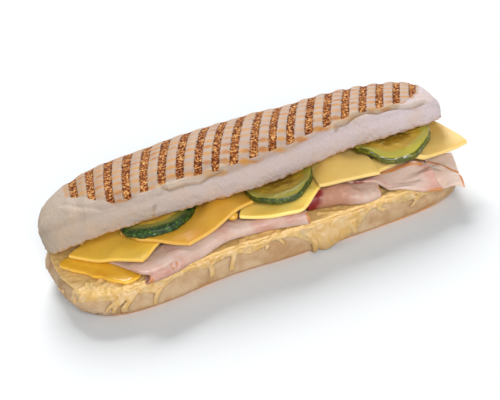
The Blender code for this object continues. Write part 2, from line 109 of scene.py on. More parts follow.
def crumple(place: Vector, scale: float, seed: float, layers: int = 3) -> float:
    """Smooth unevenness, each finer layer of it half as large and strong as the last.

    Args:
        place: where to read it.
        scale: how far apart its largest waves are.
        seed: which unevenness it is.
        layers: how many layers it has.

    Returns:
        The unevenness, from about -2 to 2.
    """
    total = 0.0
    for layer in range(layers):
        start = seed + 5 * layer
        wave = noise.noise(place / (scale / 2**layer) + Vector((start, 1.7 * start, -start)))
        total += wave / 2**layer
    return total


def along(line: Sequence[Range], x: float) -> float:
    """Reads a line that is given by points.

    Args:
        line: its points, in order of x.
        x: where to read it.

    Returns:
        The value, level beyond both ends.
    """
    if x <= line[0][0]:
        return line[0][1]
    for (left, low), (right, high) in zip(line, line[1:]):
        if x <= right:
            return low + (high - low) * (x - left) / (right - left)
    return line[-1][1]


def near_line(line: Line, place: Vector) -> tuple[float, Vector]:
    """How near a place is to a line through the given points.

    Args:
        line: the points.
        place: the place.

    Returns:
        The distance, and the step from the line's nearest point to the place.
    """
    best = (1.0, Vector())
    for start, end in zip(line, line[1:]):
        start, span = Vector(start), Vector(end) - Vector(start)
        share = min(max((place - start).dot(span) / span.length_squared, 0.0), 1.0)
        step = place - start - span * share
        if step.length < best[0]:
            best = (step.length, step)
    return best


def rightwards(x: float) -> float:
    """Goes from 0 in the middle of the sandwich to 1 near its right end."""
    return smooth(x, 0.005, 0.075)


def lid_cut_height(place: Vector) -> float:
    """Height of the lid's cut face over or under a place.

    Args:
        place: the place.

    Returns:
        The height above the floor.
    """
    share = (place.x - LID_CENTRE_X) / LID_HALF_LENGTH
    droop = LID_DROOPS[0] if share < 0 else LID_DROOPS[1]
    edge = LID_EDGE_Z + LID_EDGE_RISE * rightwards(place.x) - droop * abs(share) ** 4.5
    return edge - LID_CUT_SLOPE * (place.y - LID_FRONT_Y)


def towards(azimuth: float, elevation: float) -> Vector:
    """The direction in which a light or the camera lies.

    Args:
        azimuth: degrees from the front, to the right.
        elevation: degrees above the floor.

    Returns:
        The direction, of length 1.
    """
    turn, rise = math.radians(azimuth), math.radians(elevation)
    level = math.cos(rise)
    return Vector((math.sin(turn) * level, -math.cos(turn) * level, math.sin(rise)))


class Bench:
    """Modelling steps, done as by hand on one piece at a time."""

    @staticmethod
    def pick(piece: Piece, *others: Piece) -> None:
        """Selects a piece, alone or with others.

        Args:
            piece: the piece, which is made active.
            others: what is selected with it.
        """
        for other in bpy.context.selected_objects:
            other.select_set(False)
        bpy.context.view_layer.objects.active = piece
        for chosen in (piece, *others):
            chosen.select_set(True)

    @staticmethod
    def copy_node(node: str, name: str) -> Piece:
        """Starts a piece from the solid that it stands for.

        Args:
            node: the solid's name.
            name: the new piece's name.

        Returns:
            The piece, merged and with its triangles joined to quads.
        """
        piece = bpy.data.objects.new(name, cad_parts[node].data.copy())
        piece.data.name = name
        piece.data.materials.clear()
        bpy.context.scene.collection.objects.link(piece)
        Bench.pick(piece)
        bpy.ops.mesh.customdata_custom_splitnormals_clear()
        bpy.ops.object.mode_set(mode="EDIT")
        bpy.ops.mesh.select_all(action="SELECT")
        bpy.ops.mesh.remove_doubles(threshold=0.00001)
        bpy.ops.mesh.mark_sharp(clear=True)
        wide = math.radians(60)
        bpy.ops.mesh.tris_convert_to_quads(face_threshold=wide, shape_threshold=wide)
        bpy.ops.object.mode_set(mode="OBJECT")
        return piece

    @staticmethod
    def apply(piece: Piece, kind: str, **settings: float | str | bool) -> None:
        """Adds a modifier and applies it.

        Args:
            piece: the piece.
            kind: the modifier's type.
            settings: its settings.
        """
        modifier = piece.modifiers.new(kind.title(), kind)
        for setting, value in settings.items():
            setattr(modifier, setting, value)
        Bench.pick(piece)
        bpy.ops.object.modifier_apply(modifier=modifier.name)

    @staticmethod
    def relax(piece: Piece, rounds: int) -> None:
        """Smooths a piece."""
        Bench.apply(piece, "SMOOTH", factor=0.5, iterations=rounds)

    @staticmethod
    def remesh(piece: Piece, voxel: float, rounds: int) -> None:
        """Gives a piece an even mesh and smooths away the solid's facets."""
        Bench.apply(piece, "REMESH", mode="VOXEL", voxel_size=voxel, adaptivity=0.0)
        Bench.relax(piece, rounds)

    @staticmethod
    def sculpt(piece: Piece, move: Callable[[Vector, Vector], Vector]) -> None:
        """Moves every vertex by a rule.

        Args:
            piece: the piece.
            move: gives the step for a vertex's place and normal.
        """
        mesh = piece.data
        normals = [vert.normal.copy() for vert in mesh.vertices]
        for vert, normal in zip(mesh.vertices, normals):
            vert.co += move(vert.co, normal)
        mesh.update()

    @staticmethod
    def store(piece: Piece, name: str, values: Sequence[float]) -> None:
        """Stores a value for each vertex, which a material reads by its name."""
        piece.data.attributes.new(name, "FLOAT", "POINT").data.foreach_set("value", values)

    @staticmethod
    def mark(piece: Piece, **rules: Rule) -> None:
        """Stores values by rules that get each vertex's place and normal."""
        for name, rule in rules.items():
            Bench.store(piece, name, [rule(vert.co, vert.normal) for vert in piece.data.vertices])

    @staticmethod
    def hand_in(piece: Piece, slot: str, finish: bpy.types.Material, *nodes: str) -> None:
        """Shades a finished piece, dresses it and ties it to the model.

        Args:
            piece: the finished piece.
            slot: not used.
            finish: its material.
            nodes: the solids that it stands for.
        """
        piece.data.shade_smooth()
        piece.data.materials.clear()
        piece.data.materials.append(finish)
        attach(piece, "root")
        if nodes:
            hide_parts(*nodes)
        log.info("%s: %d faces", piece.name, len(piece.data.polygons))


class Wire:
    """What a node puts out: a number, a share, a place or a colour."""

    def __init__(self, sheet: "NodeSheet", socket: bpy.types.NodeSocket) -> None:
        """Starts from a socket on the given sheet."""
        self.sheet, self.socket = sheet, socket

    def __add__(self, other: "Value") -> "Wire":
        """The sum of two numbers."""
        return self.sheet.math("ADD", self, other)

    def __sub__(self, other: "Value") -> "Wire":
        """This number less another."""
        return self.sheet.math("SUBTRACT", self, other)

    def __mul__(self, other: "Value") -> "Wire":
        """One number times another."""
        return self.sheet.math("MULTIPLY", self, other)

    def step(self, low: "Value", high: "Value") -> "Wire":
        """Goes smoothly from 0 at low to 1 at high."""
        inputs = {"Value": self, "From Min": low, "From Max": high}
        return self.sheet.add("ShaderNodeMapRange", inputs, interpolation_type="SMOOTHSTEP")[0]

    def off_whole(self) -> "Wire":
        """How far this number lies from the nearest whole one."""
        return self.sheet.math("ABSOLUTE", self.sheet.math("FRACT", self + 0.5) - 0.5)

    def mix(self, first: "Value", second: "Value") -> "Wire":
        """The colour that lies this share of the way from the first to the second."""
        return self.sheet.add("ShaderNodeMix", {0: self, 6: first, 7: second}, data_type="RGBA")[2]

    def ramp(self, stops: Stops) -> "Wire":
        """Reads a run of colours.

        Args:
            stops: the colours, each with the share at which it stands.

        Returns:
            The colour at this share.
        """
        wire = self.sheet.add("ShaderNodeValToRGB", {0: self})[0]
        band = wire.socket.node.color_ramp
        for element, stop in zip(band.elements, (stops[0], stops[-1])):
            element.position, element.color = stop
        for position, colour in stops[1:-1]:
            band.elements.new(position).color = colour
        return wire

    def stretch(self, *factors: float) -> "Wire":
        """This place stretched along each axis, for a pattern with a direction."""
        return self.sheet.add("ShaderNodeVectorMath", {0: self, 1: factors}, operation="MULTIPLY")[0]

    def cloud(self, scale: "Value", detail: float = 2.0, rough: float = 0.5) -> "Wire":
        """Soft noise from 0 to 1 at this place."""
        inputs = {"Vector": self, "Scale": scale, "Detail": detail, "Roughness": rough}
        return self.sheet.add("ShaderNodeTexNoise", inputs)[0]

    def split(self) -> dict[str | int, "Wire"]:
        """This place's X, Y and Z."""
        return self.sheet.add("ShaderNodeSeparateXYZ", {0: self})


Value = Wire | float | Sequence[float]


class NodeSheet:
    """Lays out the nodes of a material or of a group."""

    def __init__(self, tree: bpy.types.NodeTree) -> None:
        """Works in the given tree."""
        self.tree = tree

    def fill(self, node: bpy.types.Node, inputs: dict[str | int, Value]) -> None:
        """Fills a node's inputs.

        Args:
            node: the node.
            inputs: a wire to link, or a value to set, for each input.
        """
        for key, value in inputs.items():
            if isinstance(value, Wire):
                self.tree.links.new(value.socket, node.inputs[key])
            else:
                node.inputs[key].default_value = value

    def add(
        self, kind: str, inputs: dict[str | int, Value] | None = None, **settings: object
    ) -> dict[str | int, Wire]:
        """Adds a node.

        Args:
            kind: the node's type.
            inputs: a wire to link, or a value to set, for each input.
            settings: the node's own settings.

        Returns:
            What it puts out, by number and by name.
        """
        node = self.tree.nodes.new(kind)
        for setting, value in settings.items():
            setattr(node, setting, value)
        self.fill(node, inputs or {})
        outputs = enumerate(node.outputs)
        return {key: Wire(self, out) for number, out in outputs for key in (number, out.name)}

    def math(self, operation: str, first: Value, second: Value = 0.0) -> Wire:
        """The result of one step of arithmetic."""
        return self.add("ShaderNodeMath", {0: first, 1: second}, operation=operation)[0]

    def mark(self, name: str) -> Wire:
        """A value that was stored for each vertex."""
        return self.add("ShaderNodeAttribute", attribute_name=name)["Fac"]

    def effect(self, effect: "Effect", place: Wire, **amounts: float) -> dict[str | int, Wire]:
        """What a shared effect puts out at a place."""
        return self.add("ShaderNodeGroup", {"Place": place, **amounts}, node_tree=effect.group)


class Effect(Enum):
    """Effects that more than one finish uses, with their inputs and outputs."""

    CRUMB = ("bread_crumb", ("Coarseness",), ("Height", "Mottle"))
    FLECKS = ("flecks", ("Scale", "Amount", "Softness"), ("Mask",))
    MOISTURE = ("moisture", ("Scale",), ("Height",))

    @property
    def group(self) -> bpy.types.NodeTree:
        """The effect's node group.

        Returns:
            The group, made the first time that it is asked for.
        """
        name, inputs, outputs = self.value
        if name in bpy.data.node_groups:
            return bpy.data.node_groups[name]
        tree = bpy.data.node_groups.new(name, "ShaderNodeTree")
        tree.interface.new_socket("Place", in_out="INPUT", socket_type="NodeSocketVector")
        for way, sockets in (("INPUT", inputs), ("OUTPUT", outputs)):
            for socket in sockets:
                tree.interface.new_socket(socket, in_out=way, socket_type="NodeSocketFloat")
        sheet = NodeSheet(tree)
        given = sheet.add("NodeGroupInput")
        results = getattr(self, f"_{name}")(*(given[key] for key in ("Place", *inputs)))
        sheet.add("NodeGroupOutput", dict(zip(outputs, results)))
        return tree

    @staticmethod
    def _bread_crumb(place: Wire, coarse: Wire) -> tuple[Wire, Wire]:
        """Fine leathery unevenness of a bread crust, and its mottled colour."""
        bumps, fine = place.cloud(coarse * 330.0, 3.0, 0.6), place.cloud(coarse * 1100.0, 2.0, 0.6)
        return bumps * 0.7 + fine * 0.3, place.cloud(coarse * 75.0, 4.0, 0.6)

    @staticmethod
    def _flecks(place: Wire, scale: Wire, amount: Wire, softness: Wire) -> tuple[Wire]:
        """Small scattered spots."""
        low = amount * -1.0 + 1.0
        return (place.cloud(scale, 2.0, 0.65).step(low, low + softness),)

    @staticmethod
    def _moisture(place: Wire, scale: Wire) -> tuple[Wire]:
        """The slight ripples of a moist surface."""
        return (place.cloud(scale, 2.0, 0.45),)


@dataclass(frozen=True)
class Finish:
    """A material: its name, its gloss, how far light goes into it and how deep its relief is."""

    name: str
    roughness: float = 0.7
    coat: float = 0.0
    glow: float = 0.3
    glow_depth: float = 0.004
    glow_tint: Point = (1.0, 0.6, 0.4)
    relief: float = 0.0004

    def material(self) -> bpy.types.Material:
        """Builds the material.

        Returns:
            The finished material.
        """
        material = bpy.data.materials.new(self.name)
        material.use_nodes = True
        sheet = NodeSheet(material.node_tree)
        looks = self.looks(sheet, sheet.add("ShaderNodeTexCoord")["Object"])
        relief = {"Height": looks.pop("Height"), "Distance": self.relief, "Strength": 1.0}
        inputs = {
            "Roughness": self.roughness,
            "Coat Weight": self.coat,
            "Coat Roughness": 0.18,
            "Subsurface Weight": self.glow,
            "Subsurface Radius": self.glow_tint,
            "Subsurface Scale": self.glow_depth,
            "Normal": sheet.add("ShaderNodeBump", relief)[0],
        }
        sheet.fill(material.node_tree.nodes["Principled BSDF"], inputs | looks)
        return material

    def looks(self, sheet: NodeSheet, place: Wire) -> dict[str, Wire]:
        """Lays out what changes over the surface.

        Args:
            sheet: where the nodes go.
            place: the place on the piece.

        Returns:
            The height of the relief, and what goes to the shader's inputs.
        """
        raise NotImplementedError


@dataclass(frozen=True)
class GrilledCrust(Finish):
    """Pale floury crust with dark speckled grill lines, faint golden bars and painted shade darkening
    its pressed top.
    """

    roughness: float = 0.75
    glow: float = 0.1
    glow_depth: float = 0.002
    relief: float = 0.0006
    stripe_sides: Range = (0.0027, 0.0022)
    bar_pitch: float = 0.0082
    bar_lean: float = 0.33
    bar_sides: Range = (0.0033, 0.0008)
    tone: Stops = (
        (0.0, srgb(161, 144, 126)),
        (0.35, srgb(175, 158, 150)),
        (0.62, srgb(178, 161, 158)),
        (1.0, srgb(192, 177, 180)),
    )
    warm: Colour = srgb(184, 156, 126)
    # Darker colours for the pressed top: painted shade, so the top reads no brighter than the sides
    toasted: Stops = (
        (0.0, srgb(150, 124, 98)),
        (0.45, srgb(160, 138, 124)),
        (1.0, srgb(164, 144, 134)),
    )
    golden: Colour = srgb(176, 122, 50)
    scorched: Colour = srgb(152, 88, 22)
    lip: Colour = srgb(184, 166, 134)
    # Darker warm tan for the creases and the slit: painted shade
    groove: Colour = srgb(140, 108, 66)
    torn: Colour = srgb(174, 126, 68)
    crumb: Colour = srgb(200, 176, 136)
    char: Stops = (
        (0.37, srgb(60, 20, 4)),
        (0.46, srgb(118, 56, 14)),
        (0.54, srgb(160, 92, 32)),
        (0.64, srgb(206, 162, 102)),
    )

    def looks(self, sheet: NodeSheet, place: Wire) -> dict[str, Wire]:
        """Lays out the crust, the painted shade on its pressed top, its printed lines and the cut face.

        Args:
            sheet: where the nodes go.
            place: the place on the piece.

        Returns:
            The height of the relief, and what goes to the shader's inputs.
        """
        crumb = sheet.effect(Effect.CRUMB, place, Coarseness=1.0)
        length = (place.split()["X"] + 0.13) * (1 / 0.26)
        # The pressed top takes the darker ramp: painted shade
        base = sheet.mark("top").mix(length.ramp(self.tone), length.ramp(self.toasted))
        base = (crumb["Mottle"].step(0.4, 0.8) * 0.4).mix(base, self.warm)
        base = self.bars(sheet, place, base)
        fringe = sheet.mark("fringe") * place.cloud(170.0).step(0.46, 0.6)
        base = (fringe * (length * 0.55 + 0.05)).mix(base, self.golden)
        base = (sheet.mark("lip") * 0.35).mix(base, self.lip)
        # Painted shade in the creases and the slit
        base = (sheet.mark("groove") * 0.6).mix(base, self.groove)

        grain = place.cloud(760.0, 2.0, 0.6)
        ragged = (grain - 0.5) * 0.0030
        away = sheet.mark("line").off_whole() * GRILL_PITCH
        ends = (sheet.mark("grill") + ragged * 260.0).step(0.42, 0.6)
        stripe = (away + ragged).step(*self.stripe_sides) * ends
        blotch = (place.cloud(230.0) - 0.5) * 0.36
        base = stripe.mix(base, (grain + blotch).ramp(self.char))
        base = (sheet.mark("cut_edge") * grain.step(0.34, 0.55)).mix(base, self.torn)
        base = sheet.mark("inside").mix(base, self.crumb)

        slanting = {"Vector": place, "Rotation": (0.0, math.radians(24), 0.0)}
        turned = sheet.add("ShaderNodeMapping", slanting)[0]
        fibre = turned.stretch(1.0, 0.45, 0.3).cloud(600.0, 3.0, 0.65)
        fibrous = (length * 0.9 + 0.6) * 1.5 * (sheet.mark("top") * -0.7 + 1.0)
        rough = crumb["Height"] * 0.8 + fibre * fibrous
        pits = stripe * grain * -1.2
        shine = stripe * -0.42 + 0.5
        return {"Base Color": base, "Height": rough + pits, "Specular IOR Level": shine}

    def bars(self, sheet: NodeSheet, place: Wire, base: Wire) -> Wire:
        """Adds the faint golden bars that cross the grill lines.

        Args:
            sheet: where the nodes go.
            place: the place on the lid.
            base: the crust's colour.

        Returns:
            The colour with the bars.
        """
        parts = place.split()
        across = parts["Y"] + parts["X"] * self.bar_lean + 0.0042
        away = (across * (1 / self.bar_pitch)).off_whole() * self.bar_pitch
        wavy = (place.cloud(240.0) - 0.5) * 0.0013
        narrow = sheet.mark("line").off_whole().step(0.48, 0.16) * 0.0011
        bar = (away + (wavy + narrow)).step(*self.bar_sides) * sheet.mark("top")
        strength = place.stretch(1.0, 0.9, 0.0).cloud(62.0, 1.0).step(0.34, 0.66)
        base = (bar * (strength * 0.6 + 0.4)).mix(base, self.golden)
        strong = place.cloud(88.0, 1.0).step(0.50, 0.68)
        return (bar * strong * 0.75).mix(base, self.scorched)


@dataclass(frozen=True)
class LowerCrust(Finish):
    """Golden crust of the lower half, browned along its foot."""

    glow: float = 0.1
    glow_depth: float = 0.003
    glow_tint: Point = (1.0, 0.6, 0.35)
    relief: float = 0.0005
    pale: Colour = srgb(188, 160, 126)
    golden: Colour = srgb(166, 129, 88)
    browned: Colour = srgb(230, 154, 58)
    burnt: Colour = srgb(92, 44, 22)

    def looks(self, sheet: NodeSheet, place: Wire) -> dict[str, Wire]:
        """Lays out the crust, its browned foot and burnt spots.

        Args:
            sheet: where the nodes go.
            place: the place on the piece.

        Returns:
            The height of the relief, and what goes to the shader's inputs.
        """
        crumb = sheet.effect(Effect.CRUMB, place, Coarseness=0.9)
        spots = sheet.effect(Effect.FLECKS, place, Scale=260.0, Amount=0.5, Softness=0.08)
        base = crumb["Mottle"].step(0.35, 0.65).mix(self.pale, self.golden)
        foot = (place.split()["Z"] + crumb["Mottle"] * -0.002).step(0.0022, 0.0)
        base = foot.mix(base, self.browned)
        base = (sheet.mark("burnt") * spots["Mask"]).mix(base, self.burnt)
        return {"Base Color": base, "Height": crumb["Height"]}


@dataclass(frozen=True)
class MeltFinish(Finish):
    """Grated cheese that has melted: cream and butter-yellow strings, darker low down with painted
    shade, and painted lighter on its top ledge.
    """

    roughness: float = 0.45
    coat: float = 0.14
    glow_depth: float = 0.0012
    glow_tint: Point = (1.0, 0.8, 0.5)
    cream: Colour = srgb(200, 171, 126)
    butter: Colour = srgb(194, 155, 88)
    toasted: Colour = srgb(188, 142, 48)
    # Darker colour low down: painted shade
    thin: Colour = srgb(164, 126, 66)
    # Lighter colour on the top ledge: painted light, where the ledge sits in shade
    shelf: Colour = srgb(230, 192, 120)

    def looks(self, sheet: NodeSheet, place: Wire) -> dict[str, Wire]:
        """Lays out the strings, the toast-brown patches, the painted shade low down and the painted
        light on the top ledge.

        Args:
            sheet: where the nodes go.
            place: the place on the piece.

        Returns:
            The height of the relief, and what goes to the shader's inputs.
        """
        wet = sheet.effect(Effect.MOISTURE, place, Scale=420.0)["Height"]
        strings = place.stretch(1.0, 0.5, 0.4).cloud(300.0, 3.0, 0.6)
        base = strings.step(0.30, 0.72).mix(self.butter, self.cream)
        base = (place.cloud(75.0, 3.0).step(0.54, 0.7) * 0.16).mix(base, self.toasted)
        height = place.split()["Z"]
        # Painted shade low down
        base = (height.step(0.0120, 0.0010) * 0.5).mix(base, self.thin)
        # Painted light on the top ledge
        base = (height.step(0.0180, 0.0215) * 0.6).mix(base, self.shelf)
        return {"Base Color": base, "Height": wet * 0.35 + strings * 0.35}


@dataclass(frozen=True)
class CheeseFinish(Finish):
    """Sliced cheese: smooth and satin, with a painted highlight along its cut sides."""

    roughness: float = 0.34
    coat: float = 0.12
    glow_tint: Point = (1.0, 0.55, 0.15)
    relief: float = 0.0002
    face: Colour = srgb(212, 162, 58)
    deep: Colour = srgb(204, 146, 42)
    # Lighter colour on the cut sides: a painted highlight
    side: Colour = srgb(226, 186, 98)

    def looks(self, sheet: NodeSheet, place: Wire) -> dict[str, Wire]:
        """Lays out the faces and the painted highlight on the cut sides.

        Args:
            sheet: where the nodes go.
            place: the place on the piece.

        Returns:
            The height of the relief, and what goes to the shader's inputs.
        """
        wet = sheet.effect(Effect.MOISTURE, place, Scale=130.0)["Height"]
        base = place.cloud(40.0, 3.0).step(0.35, 0.7).mix(self.face, self.deep)
        # Painted highlight on the cut sides
        base = (sheet.mark("side") * 0.6).mix(base, self.side)
        return {"Base Color": base, "Height": wet + place.cloud(1400.0, 2.0) * 0.12}


@dataclass(frozen=True)
class HamFinish(Finish):
    """Cooked ham: pale pink meat with fine fibres, rosy where it is thick, golden rind, and painted
    dark-red shade inside its folds.
    """

    roughness: float = 0.52
    coat: float = 0.05
    glow_tint: Point = (1.0, 0.4, 0.25)
    relief: float = 0.0003
    meat: Colour = srgb(194, 166, 151)
    rosy: Colour = srgb(182, 134, 118)
    pale: Colour = srgb(206, 184, 172)
    rind: Colour = srgb(184, 116, 48)
    # Dark red for inside the folds and the gaps between slices: painted shade
    raw: Colour = srgb(118, 4, 8)

    def looks(self, sheet: NodeSheet, place: Wire) -> dict[str, Wire]:
        """Lays out the meat, its fibres, its rind and the painted shade inside its folds.

        Args:
            sheet: where the nodes go.
            place: the place on the piece.

        Returns:
            The height of the relief, and what goes to the shader's inputs.
        """
        wet = sheet.effect(Effect.MOISTURE, place, Scale=300.0)["Height"]
        fibre = place.stretch(0.35, 1.0, 1.0).cloud(700.0, 3.0, 0.6)
        base = place.cloud(60.0, 2.0).step(0.4, 0.72).mix(self.meat, self.rosy)
        base = (fibre.step(0.5, 0.7) * 0.35).mix(base, self.pale)
        base = sheet.mark("rosy").mix(base, self.rosy)
        # Painted shade inside the folds and gaps
        base = sheet.mark("deep").mix(base, self.raw)
        rind = (sheet.mark("rind") + fibre * 0.3).step(0.45, 0.85)
        base = (rind * 0.9).mix(base, self.rind)
        return {"Base Color": base, "Height": wet * 0.7 + fibre * 0.35}


@dataclass(frozen=True)
class PickleFinish(Finish):
    """A wet slice of gherkin: streaky green skin, glassy flesh and a seedy core."""

    roughness: float = 0.36
    coat: float = 0.08
    glow: float = 0.25
    glow_depth: float = 0.003
    glow_tint: Point = (0.8, 0.9, 0.2)
    # Flesh and core painted lighter than on the other pickles, against the lid's shade on the left
    # pickle, which uses them
    flesh: Colour = srgb(236, 200, 84)
    core: Colour = srgb(206, 162, 58)
    seed: Colour = srgb(186, 170, 90)
    ring: Colour = srgb(136, 134, 48)
    skin: Colour = srgb(24, 50, 8)
    streak: Colour = srgb(78, 118, 34)

    def looks(self, sheet: NodeSheet, place: Wire) -> dict[str, Wire]:
        """Lays out the flesh, the seeds, the core and the skin.

        Args:
            sheet: where the nodes go.
            place: the place on the piece.

        Returns:
            The height of the relief, and what goes to the shader's inputs.
        """
        wet = sheet.effect(Effect.MOISTURE, place, Scale=260.0)["Height"]
        out = sheet.mark("out")
        wide = place.cloud(110.0, 2.0) - 0.5
        shifted = out + wide * 0.9
        base = shifted.step(0.66, 0.3).mix(self.flesh, self.core)
        seeds = place.stretch(0.6, 1.0, 1.0).cloud(380.0, 2.0, 0.6).step(0.52, 0.66)
        seeds = seeds * shifted.step(0.75, 0.5)
        base = (seeds * 0.45).mix(base, self.seed)
        base = (out + wide * 0.2).step(0.74, 0.92).mix(base, self.ring)
        flecks = sheet.effect(Effect.FLECKS, place, Scale=480.0, Amount=0.52, Softness=0.2)["Mask"]
        base = sheet.mark("skin").mix(base, (flecks * 0.8).mix(self.skin, self.streak))
        return {"Base Color": base, "Height": wet * 0.8 + seeds * 0.4}


@dataclass(frozen=True)
class Grab:
    """A pull on part of a piece: where, by how much, and how far it reaches."""

    at: Point
    by: Point
    reach: float

    def step(self, place: Vector) -> Vector:
        """How far the pull moves a place."""
        return Vector(self.by) * smooth((place - Vector(self.at)).length, self.reach, 0.0)


@dataclass(frozen=True)
class Streak:
    """A line on a piece, and how far from it it can be seen."""

    line: Line
    width: float

    def share(self, place: Vector) -> float:
        """Goes from 0 beside the line to 1 on it."""
        return smooth(near_line(self.line, place)[0], self.width, 0.0)


@dataclass(frozen=True)
class Ripple:
    """Unevenness of a surface: its depth, scale, seed and layers, and how low it goes."""

    depth: float
    scale: float
    seed: float
    layers: int = 3
    lowest: float = -9.0

    def at(self, place: Vector, share: float = 1.0) -> float:
        """The height at a place that has this share of the unevenness."""
        uneven = crumple(place, self.scale, self.seed, self.layers)
        return self.depth * share * max(uneven, self.lowest)


@dataclass(frozen=True)
class Lid:
    """The upper half: a long dome pressed flat by the grill."""

    voxel: float = 0.00085
    stripe_depth: float = 0.0005
    stripe_sides: Range = (0.0030, 0.0019)
    wrinkles: Ripple = Ripple(0.00045, 0.017, 1.0)
    puckers: Ripple = Ripple(0.00028, 0.0050, 2.0, 2)
    bumps: Ripple = Ripple(0.00018, 0.009, 4.0, 2)
    torn: Ripple = Ripple(0.0009, 0.0034, 5.0, 2)
    ragged: Ripple = Ripple(0.0008, 0.004, 21.0, 1)
    crease_depth: float = 0.0010
    lip_height: float = 0.0007
    shelf_depth: float = 0.0005
    shelf_lip: float = 0.0004
    slit_depth: float = 0.0015
    top_above_cut: float = 0.006
    line_softness: float = 0.0010
    back_end: Range = (0.0455, 0.0525)
    fringe_reach: float = 0.006
    fringe_width: float = 0.0024
    # Where each grill line crosses the middle of the top
    line_places: tuple[float, ...] = (
        -0.1000, -0.0895, -0.0779, -0.0664, -0.0550, -0.0431, -0.0310, -0.0189, -0.0077, 0.0040,
        0.0165, 0.0281, 0.0389, 0.0505, 0.0618, 0.0735, 0.0844, 0.0949, 0.1056, 0.1155,
    )
    # Where the grill lines end towards the front
    line_ends: tuple[Range, ...] = (
        (-0.105, 0.0180), (-0.0988, 0.0110), (-0.0894, -0.0015), (-0.0790, -0.0104),
        (-0.0703, -0.0125), (-0.0598, -0.0110), (-0.0380, -0.0108), (-0.0261, -0.0129),
        (-0.0148, -0.0139), (0.0091, -0.0123), (0.0314, -0.0100), (0.0430, -0.0062),
        (0.0549, -0.0044), (0.0675, -0.0025), (0.0794, -0.0005), (0.0908, -0.0001),
        (0.1012, 0.0017), (0.1137, 0.0094), (0.118, 0.016),
    )
    creases: tuple[Line, ...] = (
        ((-0.0479, -0.0129, 0.0596), (-0.0449, -0.0150, 0.0583), (-0.0400, -0.0150, 0.0587),
         (-0.0344, -0.0151, 0.0590), (-0.0264, -0.0168, 0.0579), (-0.0209, -0.0154, 0.0594),
         (-0.0125, -0.0144, 0.0603)),
        ((0.0604, -0.0080, 0.0613), (0.0624, -0.0064, 0.0627), (0.0682, -0.0059, 0.0627),
         (0.0743, -0.0027, 0.0640), (0.0816, -0.0015, 0.0638), (0.0876, -0.0038, 0.0622),
         (0.0935, -0.0029, 0.0620), (0.1000, -0.0020, 0.0609), (0.1051, -0.0033, 0.0599),
         (0.1107, -0.0029, 0.0586), (0.1180, 0.0004, 0.0575)),
    )
    shelf: Line = (
        (-0.1086, 0.0122, 0.0544), (-0.0980, -0.0020, 0.0573), (-0.0868, -0.0107, 0.0569),
        (-0.0749, -0.0133, 0.0571), (-0.0628, -0.0147, 0.0573), (-0.0505, -0.0149, 0.0580),
    )
    slit: Line = (
        (-0.0556, -0.0175, 0.0515), (-0.0572, -0.0171, 0.0475), (-0.0580, -0.0157, 0.0440),
    )

    def build(self) -> Piece:
        """Models the lid and marks its grill lines, creases and cut edge.

        Returns:
            The finished piece.
        """
        piece = Bench.copy_node("bun_top", "upper_bread")
        Bench.remesh(piece, self.voxel, 5)
        Bench.mark(
            piece,
            line=lambda place, normal: self.line_at(place),
            grill=lambda place, normal: self.pressed(place),
            # top marks the pressed top, where the crust paints shade and the bars lie
            top=lambda place, normal: self.barred(place),
            fringe=lambda place, normal: self.fringe(place),
            cut_edge=self.cut_edge,
            lip=lambda place, normal: hump(self.over_crease(place), 0.0025, 0.0017),
            # groove places the painted shade in the creases and the slit
            groove=lambda place, normal: self.groove_at(place),
            inside=lambda place, normal: smooth(normal.z, -0.8, -0.97),
        )
        Bench.sculpt(piece, self.relief)
        return piece

    def line_at(self, place: Vector) -> float:
        """Counts the grill lines.

        Args:
            place: the vertex's place.

        Returns:
            The line's number, whole in the middle of each.
        """
        drop = GRILL_LEFT_LEAN * (max(-place.x, 0.0) / LID_HALF_LENGTH) ** 1.5
        x = place.x - (GRILL_LEAN - drop) * (place.y - GRILL_MIDDLE_Y)
        places = self.line_places
        index = min(max(sum(1 for line in places if line <= x) - 1, 0), len(places) - 2)
        return index + (x - places[index]) / (places[index + 1] - places[index])

    def pressed(self, place: Vector, ahead: float = 0.0) -> float:
        """How far the grill has pressed a place.

        Args:
            place: the vertex's place.
            ahead: how far ahead of the lines' front ends it starts.

        Returns:
            From 0 to 1.
        """
        if place.z < lid_cut_height(place) + self.top_above_cut:
            return 0.0
        front = along(self.line_ends, place.x) - ahead
        share = smooth(place.y, front - self.line_softness, front + self.line_softness)
        share *= 1 - smooth(place.y, *self.back_end)
        line, last = self.line_at(place), len(self.line_places) - 1
        return share * smooth(line, -0.6, -0.5) * smooth(line, last + 0.5, last + 0.3)

    def barred(self, place: Vector) -> float:
        """Where the golden bars and the crust's painted top shade are: they go a little past the grill
        lines' front ends.
        """
        return self.pressed(place, 0.0004 + 0.0026 * smooth(place.x, -0.06, 0.0))

    def fringe(self, place: Vector) -> float:
        """The golden patches round the front ends of the grill lines.

        Args:
            place: the vertex's place.

        Returns:
            From 0 to 1.
        """
        front = along(self.line_ends, place.x)
        share = hump(place.y, front + 0.0002, self.fringe_width)
        share *= self.pressed(place, self.fringe_reach)
        return share * smooth(place.x, -0.07, 0.02)

    def cut_edge(self, place: Vector, normal: Vector) -> float:
        """The torn edge along the cut."""
        above = place.z - lid_cut_height(place) + self.ragged.at(place)
        return smooth(above, 0.0022, 0.0008) * smooth(normal.z, -0.98, -0.8)

